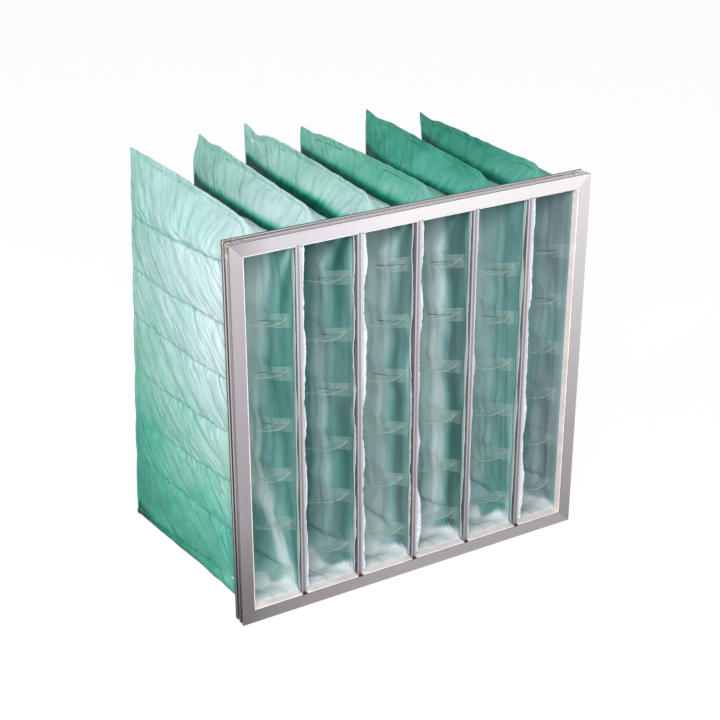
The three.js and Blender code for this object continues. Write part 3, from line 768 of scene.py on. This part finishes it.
def skin_grid(pocket, inner):
    """Levels down a side and shares of the length, which stand closer near the mouth. The pocket
    that shows its side has finer ones, and the inner skin ends a little before the tip."""
    if inner:
        zones, places = side_levels(2)
        return zones, places, np.linspace(0, 1, 70) ** 1.15 * 0.95
    shown = pocket["index"] == 0
    zones, places = side_levels(5 if shown else 3)
    return zones, places, np.linspace(0, 1, 150 if shown else 110) ** 1.08


def skin(pocket, inner):
    """Rings of points round a pocket's skin, from the mouth's front to the tip, with its values."""
    zones, places, f = skin_grid(pocket, inner)
    sheets, facts = [], []
    for side in (1, -1):
        points = skin_sheet(pocket, side, zones, places, f, inner)
        wrinkles = inner_wrinkles if inner else outer_wrinkles
        push = wrinkles(pocket, side, points, zones, places) * (-1 if inner else 1)
        down = run_down(points)
        moved = displaced(pocket, points, facing(points, side), push, zones, places)
        if not inner:
            edge = (zones == FIN) * np.interp(places, [0, 1], [1, 0.2])
            wobble = noise(points[..., 1] / 16, 0 * points[..., 1], pocket["index"] * 10 + 8)
            moved[..., 0] += wobble * edge * 0.8 * ease(points[..., 1], 30, 60)
            moved[..., 2] += noise(points[..., 1] / 16, 0 * down, pocket["index"] * 10 + 9) * edge * 0.8
        # the cloth doesn't hang below the frame's lower edge
        moved[..., 2] = np.maximum(moved[..., 2], -HALF_FACE + (WALL_CLOTH - 2 if inner else 0.2))
        sheets.append(moved)
        facts.append(values(pocket, side, moved, zones, places, down, inner))
    rings = np.concatenate([sheets[0], sheets[1][:, ::-1]], axis=1)
    joined = {k: np.concatenate([facts[0][k], facts[1][k][:, ::-1]], axis=1) for k in facts[0]}
    front = rings[:1].copy()
    front[..., 1] = MOUTH_FRONT
    rings = np.concatenate([front, rings])
    joined = {k: np.concatenate([v[:1], v]) for k, v in joined.items()}
    return rings, joined


def inside_tone(pocket, depth, down, height):
    """How deep the green of the inside wall looks, and how grey: painted light and shade."""
    seed = pocket["index"] * 10 + 401
    place = depth + 9 * noise(down / 110, 0 * down, seed) + 4 * noise(down / 30, depth / 80, seed + 3)
    pale = 0 * depth
    if pocket["index"] == 0:
        # the pale back of this wall comes further forwards near the top, and low down it ends in a broad fold
        # that sweeps forwards to the sole, with a painted highlight along the fold and painted shade behind
        # it
        edge = np.interp(height, [-262, -186, -96, 84, 174, 234], [32, 74, 124, 121, 98, 78])
        place = 118 + (depth - edge) * np.where(depth > edge, 1, 103 / np.maximum(edge - 15, 5))
        pale = 0.25 * np.exp(-(((depth - edge) / 9) ** 2)) * ease(-height, 60, 190)
        pale = pale - 0.5 * ease(depth - edge, 10, 30) * ease(-height, 130, 200)
    # painted light on the crests of the corner creases and painted shade in the valleys in front of them
    lit = corner_creases(pocket, depth, down)
    tone = np.interp(place, WALL_DEPTHS, pocket["wall"])
    tone = tone - pale - 0.6 * lit
    grey = pocket["grey"] * (0.7 + 0.5 * noise(down / 140, depth / 60, seed + 1))
    grey = grey * (1 - 0.9 * ease(depth, 95, 130))
    grey = grey + 0.25 * np.maximum(pale, 0) + 0.25 * np.maximum(lit, 0)
    grey = grey + 0.4 * (1 - ease(depth, 14, 24))
    if pocket["index"] == POCKETS - 1:
        # shade in the gap behind the right-hand strip
        gap = 1 - ease(depth, 17, 21)
        tone, grey = tone + 0.8 * gap, grey * (1 - gap)
    return tone + 0.09 * noise(down / 90, depth / 60, seed + 2), grey


def rung_height(pocket, seam, depth):
    """Height of the line along which a tape is sewn to the right-hand wall; it falls to the rear."""
    return seam_height(pocket, seam, 0) - 6 - RUNG_FALL * (depth - TAPE_FRONT)


def rung_distance(pocket, depth, height):
    """Distance up or down the wall to the nearest of these lines."""
    gaps = [np.abs(height - rung_height(pocket, seam, depth)) for seam in range(SEAMS - 1)]
    return np.minimum.reduce(gaps)


# Greens shared by the right-hand sides and by the deepest shade between two pockets
RIGHT_SIDE_TONE = 0.26
VALLEY_TONE = 0.98


def outside_tone(pocket, side, points, down):
    """How deep the green of the outer skin looks."""
    depth, height = points[..., 1], points[..., 2]
    rise = (height + HALF_FACE) / FACE_SIZE
    reach = (depth - HEADER_DEPTH) / POCKET_LENGTH
    tone = pocket["tone"] + pocket["gain"] * reach
    if side > 0:
        tone = lerp(tone, RIGHT_SIDE_TONE, ease(1.02 - rise, 0, 0.12))
    clouds = 0.06 * noise(depth / 60, down / 50, pocket["index"] * 10 + 411)
    # painted shade: the green deepens lower down, and more on the underside
    tone = tone + 0.44 * ease(1 - rise, 0.28, 1.0)
    tone = tone + 0.34 * ease(-rise, -0.06, 0.0) + clouds
    # a painted highlight: the satin glare on the upper panels near the frame
    painted_glare = np.exp(-(((reach - 0.12) / 0.22) ** 2) - ((rise - 0.74) / 0.16) ** 2)
    tone = tone - 0.14 * painted_glare
    # the narrow valley between two pockets is in deep green shade, which eases lower down
    if pocket["index"] > 0 and side < 0:
        ridge = HALF_FACE + lerp(RIDGE_RISE, pocket["rise"], reach)
        below = ridge - height - lerp(18, pocket["valley"], reach)
        lower = ease(below, 45, 150)
        lit = 0.3 + 0.4 * ease(1 - rise, 0.28, 1.0)
        shade = ease(below, 0, 13) * (1 - lower) * ease(depth, 30, 60)
        tone = lerp(lerp(tone, lit, lower), VALLEY_TONE, shade)
    return tone


def values(pocket, side, points, zones, places, down, inner):
    """The attributes that the cloth's material reads."""
    depth, height = points[..., 1], points[..., 2]
    shape = depth.shape
    seed = pocket["index"] * 10 + 411
    seam, white, grey, sewn, rung = (np.zeros(shape) for _ in range(5))
    if inner:
        tone, grey = inside_tone(pocket, depth, down, height)
        rung = rung_distance(pocket, depth, height)
        sewn = ease(depth, 18, 34) * (1 - ease(depth, 80, 128))
        floor = lerp(-CLOTH_OUTER, -HALF_FACE, ease(depth, HEADER_DEPTH, HEADER_DEPTH + SHOULDER_RUN))
        edge = 11 + 5 * noise(depth / 22, 0 * depth, seed) + 1.5 * noise(depth / 13, 0 * depth, seed + 1)
        white = 1 - ease(height, floor + edge, floor + edge + 5)
        seam = np.broadcast_to(1.0 * ((zones == SOLE) & (places == 1)), shape)
    else:
        tone = outside_tone(pocket, side, points, down)
        line = np.abs(np.mod(places + 0.5, 1) - 0.5)
        sharp = np.exp(-((line / 0.016) ** 2)) * (zones == PANEL)
        sharp = np.maximum(sharp, np.exp(-(((places - 1) / 0.03) ** 2)) * (zones == FLANK))
        seam = np.broadcast_to(sharp, shape).copy()
    inside = np.full(shape, 1.0 if inner else 0.0)
    found = {"tone": tone, "seam": seam, "white": white, "grey": grey, "rung": rung, "sewn": sewn}
    return {**found, "inside": inside, "down": down}


def make_object(name, points, faces, material, attributes, uv=None):
    """A mesh object at the origin; points are in the filter's own millimetres."""
    placed = (np.asarray(points) + (0, -TOTAL_DEPTH / 2, HALF_FACE)) * MM
    mesh = bpy.data.meshes.new(name)
    mesh.from_pydata(placed.tolist(), [], faces)
    mesh.materials.append(material)
    for key, value in attributes.items():
        layer = mesh.attributes.new(key, "FLOAT", "POINT")
        layer.data.foreach_set("value", np.asarray(value, np.float32).ravel())
    if uv is not None:
        layer = mesh.uv_layers.new(name="cloth")
        corners = np.zeros(len(mesh.loops), np.int32)
        mesh.loops.foreach_get("vertex_index", corners)
        layer.data.foreach_set("uv", (np.asarray(uv)[corners] * MM).astype(np.float32).ravel())
    mesh.polygons.foreach_set("use_smooth", [True] * len(mesh.polygons))
    mesh.validate()
    obj = bpy.data.objects.new(name, mesh)
    bpy.context.scene.collection.objects.link(obj)
    return obj


def pocket_facts(index):
    """Where a pocket's mouth and body stand, and its rows of the tables above."""
    left = -CLOTH_OUTER if index == 0 else (index - POCKETS / 2) * PITCH + HALF_FIT
    right = CLOTH_OUTER if index == POCKETS - 1 else (index + 1 - POCKETS / 2) * PITCH - HALF_FIT
    middle = (index - (POCKETS - 1) / 2) * BODY_PITCH
    mouth = {"index": index, "left": left, "right": right, "middle": middle}
    return {**mouth, **HANG[index], **OUTSIDE[index], **INSIDE[index]}


def tube_faces(start, rings, count, flip):
    """Faces between the rings of a tube."""
    faces = []
    for r in range(rings - 1):
        for i in range(count):
            a, b = start + r * count + i, start + r * count + (i + 1) % count
            face = [a, b, b + count, a + count]
            faces.append(face[::-1] if flip else face)
    return faces


def tip_faces(start, levels, flip):
    """Faces that close a ring, from its right half to its left."""
    faces = []
    for i in range(levels - 1):
        face = [start + k for k in (i, i + 1, 2 * levels - 2 - i, 2 * levels - 1 - i)]
        faces.append(face if flip else face[::-1])
    return faces


def add_pocket(pocket, material):
    """A pocket's cloth: an outer and an inner skin, closed at the tip and joined round the mouth."""
    outer, outer_values = skin(pocket, False)
    inner, inner_values = skin(pocket, True)
    outer_count, inner_count = outer.shape[1], inner.shape[1]
    inner_start = outer.shape[0] * outer_count
    faces = tube_faces(0, outer.shape[0], outer_count, False)
    faces += tip_faces((outer.shape[0] - 1) * outer_count, outer_count // 2, True)
    faces += tube_faces(inner_start, inner.shape[0], inner_count, True)
    faces += tip_faces(inner_start + (inner.shape[0] - 1) * inner_count, inner_count // 2, False)
    faces += rim_faces(outer[0], inner[0], inner_start)
    points = np.concatenate([outer.reshape(-1, 3), inner.reshape(-1, 3)])
    joined = {k: np.concatenate([v.ravel(), inner_values[k].ravel()]) for k, v in outer_values.items()}
    uv = np.stack([points[:, 1], joined.pop("down")], axis=-1)
    name = f"pocket_cloth_{pocket['index'] + 1}"
    return welded(make_object(name, points, faces, material, joined, uv))


def welded(made):
    """The pocket with its two halves joined along the middle of the sole."""
    mesh = bmesh.new()
    mesh.from_mesh(made.data)
    bmesh.ops.remove_doubles(mesh, verts=mesh.verts, dist=0.01 * MM)
    mesh.to_mesh(made.data)
    mesh.free()
    return made


def rim_faces(outer_ring, inner_ring, inner_start):
    """Triangles and quads between the outer and the coarser inner ring of the mouth."""
    count, inner_count = len(outer_ring), len(inner_ring)
    nearest = [int(np.argmin(np.linalg.norm(inner_ring - p, axis=1))) for p in outer_ring]
    faces = []
    for i in range(count):
        j = (i + 1) % count
        a, b = nearest[i], nearest[j]
        steps = (b - a) % inner_count
        if steps > inner_count // 2:
            steps, b = 0, a
        for k in range(steps):
            here, after = (inner_start + (a + n) % inner_count for n in (k, k + 1))
            faces.append([i, here, after])
        faces.append([j, i, inner_start + b])
    return faces


# Stitches


def stitch_tree():
    """Repeats one stitch along every curve, turned to follow it."""
    tree = bpy.data.node_groups.new("stitches along curves", "GeometryNodeTree")
    sockets = [
        ("Curves", "NodeSocketGeometry"),
        ("Spacing", "NodeSocketFloat"),
        ("Length", "NodeSocketFloat"),
        ("Thickness", "NodeSocketFloat"),
        ("Wander", "NodeSocketFloat"),
        ("Seed", "NodeSocketInt"),
        ("Material", "NodeSocketMaterial"),
    ]
    for name, kind in sockets:
        tree.interface.new_socket(name, in_out="INPUT", socket_type=kind)
    tree.interface.new_socket("Stitches", in_out="OUTPUT", socket_type="NodeSocketGeometry")
    given = tree.nodes.new("NodeGroupInput").outputs
    result = tree.nodes.new("NodeGroupOutput")
    links = [("Curve", given["Curves"]), ("Length", given["Spacing"])]
    points = add(tree, "GeometryNodeCurveToPoints", links, mode="LENGTH")
    radius = math_node(tree, "MULTIPLY", given["Thickness"], 0.5)
    thread = add(
        tree,
        "GeometryNodeMeshCylinder",
        [("Radius", radius), ("Depth", given["Length"])],
        Vertices=5,
        fill_type="NGON",
    )
    wander = add(
        tree,
        "FunctionNodeRandomValue",
        [("Seed", given["Seed"])],
        data_type="FLOAT_VECTOR",
    )
    wander.inputs[0].default_value = (-1, -1, -1)
    wander.inputs[1].default_value = (1, 1, 1)
    shift = add(
        tree,
        "ShaderNodeVectorMath",
        [(0, wander.outputs[0]), ("Scale", given["Wander"])],
        operation="SCALE",
    )
    moved = add(
        tree,
        "GeometryNodeSetPosition",
        [("Geometry", points.outputs["Points"]), ("Offset", shift.outputs[0])],
    )
    placed = add(
        tree,
        "GeometryNodeInstanceOnPoints",
        [
            ("Points", moved.outputs[0]),
            ("Instance", thread.outputs["Mesh"]),
            ("Rotation", points.outputs["Rotation"]),
        ],
    )
    real = add(tree, "GeometryNodeRealizeInstances", [("Geometry", placed.outputs[0])])
    painted = add(
        tree,
        "GeometryNodeSetMaterial",
        [("Geometry", real.outputs[0]), ("Material", given["Material"])],
    )
    tree.links.new(result.inputs[0], painted.outputs[0])
    return tree


def stitched(name, tree, paths, material, stitch, seed):
    """A mesh of stitches along paths, each a list of points in millimetres."""
    spacing, length, thickness, wander = (size * MM for size in stitch)
    data = bpy.data.curves.new(name, "CURVE")
    data.dimensions = "3D"
    for path in paths:
        spline = data.splines.new("POLY")
        spline.points.add(len(path) - 1)
        placed = (np.asarray(path) + (0, -TOTAL_DEPTH / 2, HALF_FACE)) * MM
        spline.points.foreach_set("co", np.column_stack([placed, np.ones(len(placed))]).ravel())
    source = bpy.data.objects.new(name + "_paths", data)
    bpy.context.scene.collection.objects.link(source)
    modifier = source.modifiers.new("stitches", "NODES")
    modifier.node_group = tree
    inputs = {
        "Spacing": spacing,
        "Length": length,
        "Thickness": thickness,
        "Wander": wander,
        "Seed": seed,
        "Material": material,
    }
    for item in tree.interface.items_tree:
        if item.in_out == "INPUT" and item.name in inputs:
            modifier[item.identifier] = inputs[item.name]
    graph = bpy.context.evaluated_depsgraph_get()
    mesh = bpy.data.meshes.new_from_object(source.evaluated_get(graph), depsgraph=graph)
    bpy.data.objects.remove(source)
    mesh.name = name
    obj = bpy.data.objects.new(name, mesh)
    bpy.context.scene.collection.objects.link(obj)
    return obj


def seam_paths(pocket):
    """Stitch lines on a pocket's outer skin: its seams on both sides, its fin and its rear hem."""
    zones, places, f = skin_grid(pocket, False)
    paths = []
    for side in (1, -1):
        points = skin_sheet(pocket, side, zones, places, f, False)
        push = outer_wrinkles(pocket, side, points, zones, places)
        raised = points + facing(points, side) * (push + 0.25)[..., None]
        for seam in range(SEAMS):
            column = int(np.argmin(np.abs(places - seam) + 10 * (zones != PANEL)))
            if seam == 0:
                column = int(np.flatnonzero(zones == SOLE)[0])
            paths.append(raised[8:-2, column])
        fin = int(np.flatnonzero(zones == FIN)[2])
        paths.append(raised[14:-2, fin])
        paths.append(raised[-2, np.flatnonzero(zones != FIN)])
    return paths


# Tapes and hems


def wall_place(pocket, side, seam, depth):
    """A point on the inside of a pocket's wall at a seam."""
    f = np.array([(depth - HEADER_DEPTH) / POCKET_LENGTH])
    zones, places = side_levels(1)
    points = skin_sheet(pocket, side, zones, places, f, True)[0]
    column = int(np.argmin(np.abs(places - seam) + 10 * (zones != PANEL)))
    if seam == 0:
        column = int(np.flatnonzero(zones == SOLE)[0])
    return points[column]


def tape_point(left, right, t, share, seed):
    """A point of a tape at share t of its way to the right and share of its way to the rear."""
    slack = TAPE_SAG * (0.85 + 0.3 * math.sin(seed * 2.1))
    # it leans down to the right and to the rear, and turns up where it is sewn to the right wall
    lean = lerp(8, -6, t) * (1 - t**10)
    sag = slack * math.sin(math.pi * t**1.5) + 5 * share
    ripple = 0.5 * float(noise(t * 5, share * 2, seed))
    x = lerp(left[0] + 0.4, right[0] - 0.4, t)
    return x, left[2] + lean - sag + ripple


# A column of the inner skin half way down the wall
MID_WALL = 40


def rung_paths(pocket):
    """Stitch lines that sew the tapes to the right-hand wall, a little proud of it."""
    zones, places, f = skin_grid(pocket, True)
    sheet = skin_sheet(pocket, 1, zones, places, f, True)
    sheet = sheet - facing(sheet, 1) * inner_wrinkles(pocket, 1, sheet, zones, places)[..., None]
    depths = sheet[:, MID_WALL, 1]
    rows = sheet[(depths > SEWN_FROM) & (depths < SEWN_TO)]
    paths = []
    for seam in range(3 if pocket["index"] < 3 else 4, SEAMS - 1):
        path = []
        for row in rows:
            depth = row[MID_WALL, 1]
            height = rung_height(pocket, seam, depth)
            x = float(np.interp(-height, -row[:, 2], row[:, 0]))
            path.append((x - 0.7, depth, height))
        paths.append(path)
    return paths


def add_tapes(pocket, material):
    """The spacer tapes that show in a pocket's mouth, in one piece: thin sagging strips."""
    across, along = 26, 9
    points, edge, uv, faces = [], [], [], []
    for seam in range(SEAMS - 1):
        seed = pocket["index"] * 10 + seam + 501
        start = len(points)
        for j in range(along):
            share = j / (along - 1)
            depth = TAPE_FRONT + TAPE_WIDTH * share
            left = wall_place(pocket, -1, seam, depth)
            right = wall_place(pocket, 1, seam, depth)
            for i in range(across):
                t = i / (across - 1)
                x, z = tape_point(left, right, t, share, seed)
                points.append((x, depth, z))
                front = 1 - share
                held = float(ease(t, 0.12, 0.6))
                flap = 0.3 * (1 + math.sin(seed * 1.7)) * front * max(t - 0.86, 0) / 0.14
                edge.append(max(0.5 * front**10 * held, 0.25 * share**8 * held, flap))
                uv.append((x, depth))
        for j in range(along - 1):
            for i in range(across - 1):
                a = start + j * across + i
                faces.append([a, a + 1, a + across + 1, a + across])
    name = f"spacer_tapes_{pocket['index'] + 1}"
    tapes = make_object(name, points, faces, material, {"edge": edge}, uv)
    thick = tapes.modifiers.new("thickness", "SOLIDIFY")
    thick.thickness, thick.offset = 0.5 * MM, 0
    return tapes


# Hem beside each bar, as (usual width, swing, extra width towards the bottom), and how far the
# right-hand hems show the cloth's green side
LEFT_HEMS = {1: (5, 2.5, 0), 2: (6, 3.5, 3), 3: (4.5, 3, 5), 4: (3, 1.5, 0), 5: (8, 2.5, 3)}
RIGHT_HEMS = {0: (0.2, 0.5, 0), 1: (1.6, 2.4, 0), 2: (2.2, 2.6, 0), 3: (1.0, 1.4, 0), 4: (0.5, 0.9, 0)}
RIGHT_MINT = [0.9, 0.3, 0.35, 0.7, 0.8]


def hem_width(height, seed, base, swing):
    """How far a raw hem stands out past its bar at each height."""
    ragged = noise(height / 38, 0 * height, seed) * swing
    nicks = crease(height / 9, 0 * height, seed + 1) * swing * 0.35
    return np.maximum(base + ragged + nicks, 0.3)


def add_hem(pocket, material):
    """The raw white cloth edge that curls out past the bars at both sides of a mouth."""
    height = np.arange(-STRIP_INNER + 2, STRIP_INNER - 1, 2.5)
    points, faces, mint = [], [], []
    seed = pocket["index"] * 10 + 601
    strips = []
    if pocket["index"] > 0:
        strips.append((pocket["left"] - HALF_FIT + BAR_HALF, 1, *LEFT_HEMS[pocket["index"]]))
    if pocket["index"] < POCKETS - 1:
        strips.append((pocket["right"] + HALF_FIT - BAR_HALF, -1, *RIGHT_HEMS[pocket["index"]]))
    for edge, way, base, swing, fall in strips:
        width = hem_width(height, seed, base, swing) + fall * ease(-height, 120, 270)
        bow = noise(height / 30, 0 * height, seed + 3) * 1.6
        start, columns = len(points), 6
        for z, w, b in zip(height, width, bow):
            for i in range(columns):
                t = i / (columns - 1)
                x = edge + way * (0.3 + w * t)
                y = lerp(BAR_BACK + 1, 9.5 + b * 0.6, t**0.7) + 1.2 * math.sin(t * 3 + z / 17)
                points.append((x, y, z))
                mint.append(0.0 if way > 0 else RIGHT_MINT[pocket["index"]])
        for k in range(len(height) - 1):
            for i in range(columns - 1):
                a = start + k * columns + i
                face = [a, a + 1, a + columns + 1, a + columns]
                faces.append(face if way > 0 else face[::-1])
    hem = make_object(f"mouth_hem_{pocket['index'] + 1}", points, faces, material, {"mint": mint})
    thick = hem.modifiers.new("thickness", "SOLIDIFY")
    thick.thickness, thick.offset = 0.9 * MM, 0
    return hem


# The room


def add_light(name, place, target, size, power):
    data = bpy.data.lights.new(name, "AREA")
    data.shape, data.size, data.size_y = "RECTANGLE", size[0], size[1]
    data.energy = power
    light = bpy.data.objects.new(name, data)
    bpy.context.scene.collection.objects.link(light)
    light.location = place
    light.rotation_mode = "QUATERNION"
    light.rotation_quaternion = (Vector(target) - Vector(place)).to_track_quat("-Z", "Y")


def seen_directly(tree):
    """1 for camera, glossy and transmission rays."""
    path = add(tree, "ShaderNodeLightPath").outputs
    direct = math_node(tree, "MAXIMUM", path["Is Camera Ray"], path["Is Glossy Ray"])
    return math_node(tree, "MAXIMUM", direct, path["Is Transmission Ray"])


def add_room():
    world = bpy.data.worlds.new("studio")
    bpy.context.scene.world = world
    world.use_nodes = True
    tree = world.node_tree
    tree.nodes.clear()
    fill = add(tree, "ShaderNodeBackground", Color=(1, 1, 1, 1), Strength=0.32)
    white = add(tree, "ShaderNodeBackground", Color=(1, 1, 1, 1), Strength=1.0)
    mixed = add(
        tree, "ShaderNodeMixShader",
        [(0, seen_directly(tree)), (1, fill.outputs[0]), (2, white.outputs[0])],
    )
    add(tree, "ShaderNodeOutputWorld", [("Surface", mixed.outputs[0])])

    material = bpy.data.materials.new("white paper sweep")
    material.use_nodes = True
    tree = material.node_tree
    shader = next(n for n in tree.nodes if n.type == "BSDF_PRINCIPLED")
    shader.inputs["Base Color"].default_value = (0.86, 0.86, 0.86, 1)
    shader.inputs["Roughness"].default_value = 0.9
    glow = add(tree, "ShaderNodeEmission", Color=(1, 1, 1, 1), Strength=1.04)
    share = math_node(tree, "MULTIPLY", seen_directly(tree), 0.9)
    mixed = add(
        tree, "ShaderNodeMixShader", [(0, share), (1, shader.outputs[0]), (2, glow.outputs[0])]
    )
    output = next(n for n in tree.nodes if n.type == "OUTPUT_MATERIAL")
    tree.links.new(output.inputs["Surface"], mixed.outputs[0])
    mesh = bpy.data.meshes.new("floor")
    reach = 12
    mesh.from_pydata(
        [(-reach, -reach, 0), (reach, -reach, 0), (reach, reach, 0), (-reach, reach, 0)], [], [(0, 1, 2, 3)]
    )
    mesh.materials.append(material)
    floor = bpy.data.objects.new("floor", mesh)
    bpy.context.scene.collection.objects.link(floor)

    centre = (0, 0, 0.3)
    add_light("key from the upper left", (-2.3, 0.1, 1.95), centre, (0.5, 0.5), 30)
    add_light("front left", (-1.3, -2.3, 1.9), centre, (1.2, 0.9), 92)


add_camera()
add_room()

finishes = {
    "frame_rail": satin_aluminium(),
    "corner_key": galvanised_steel(),
    "clamp_strip": cream_strip(),
    "divider": bar_aluminium(),
}
for name, node in nodes.items():
    for start, material in finishes.items():
        if name.startswith(start):
            node.data.materials.clear()
            node.data.materials.append(material)

cloth = spunbond_cloth()
hem_cloth = white_hem()
tape_cloth = gauze_tape()
green_thread = polyester_thread("green polyester thread", "#3f9a80", "#8fd0bb")
dark_thread = polyester_thread("dark polyester thread", "#1f3f3a", "#3f6a62")
stitches = stitch_tree()

# A stitch's spacing, length, thickness and wander in millimetres
SEAM_STITCH = (4.2, 2.8, 0.6, 0.25)
TAPE_STITCH = (3.4, 1.9, 0.9, 0.3)
for index in range(POCKETS):
    pocket = pocket_facts(index)
    number = index + 1
    bag = add_pocket(pocket, cloth)
    hem = add_hem(pocket, hem_cloth)
    tapes = add_tapes(pocket, tape_cloth)
    outer = stitched(
        f"seam_stitches_{number}", stitches, seam_paths(pocket), green_thread, SEAM_STITCH, number
    )
    inner = stitched(
        f"tape_stitches_{number}", stitches, rung_paths(pocket), dark_thread, TAPE_STITCH, number + POCKETS
    )
    for piece, slot in ((bag, "filter_cloth"), (hem, "filter_cloth"), (outer, "filter_cloth")):
        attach(piece, "root")
    for piece in (tapes, inner):
        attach(piece, "root")
    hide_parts(f"pocket_{number}")
    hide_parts(*[f"spacer_tape_{number}_{k}" for k in range(1, SEAMS)])

bpy.context.scene.view_settings.view_transform = "Standard"
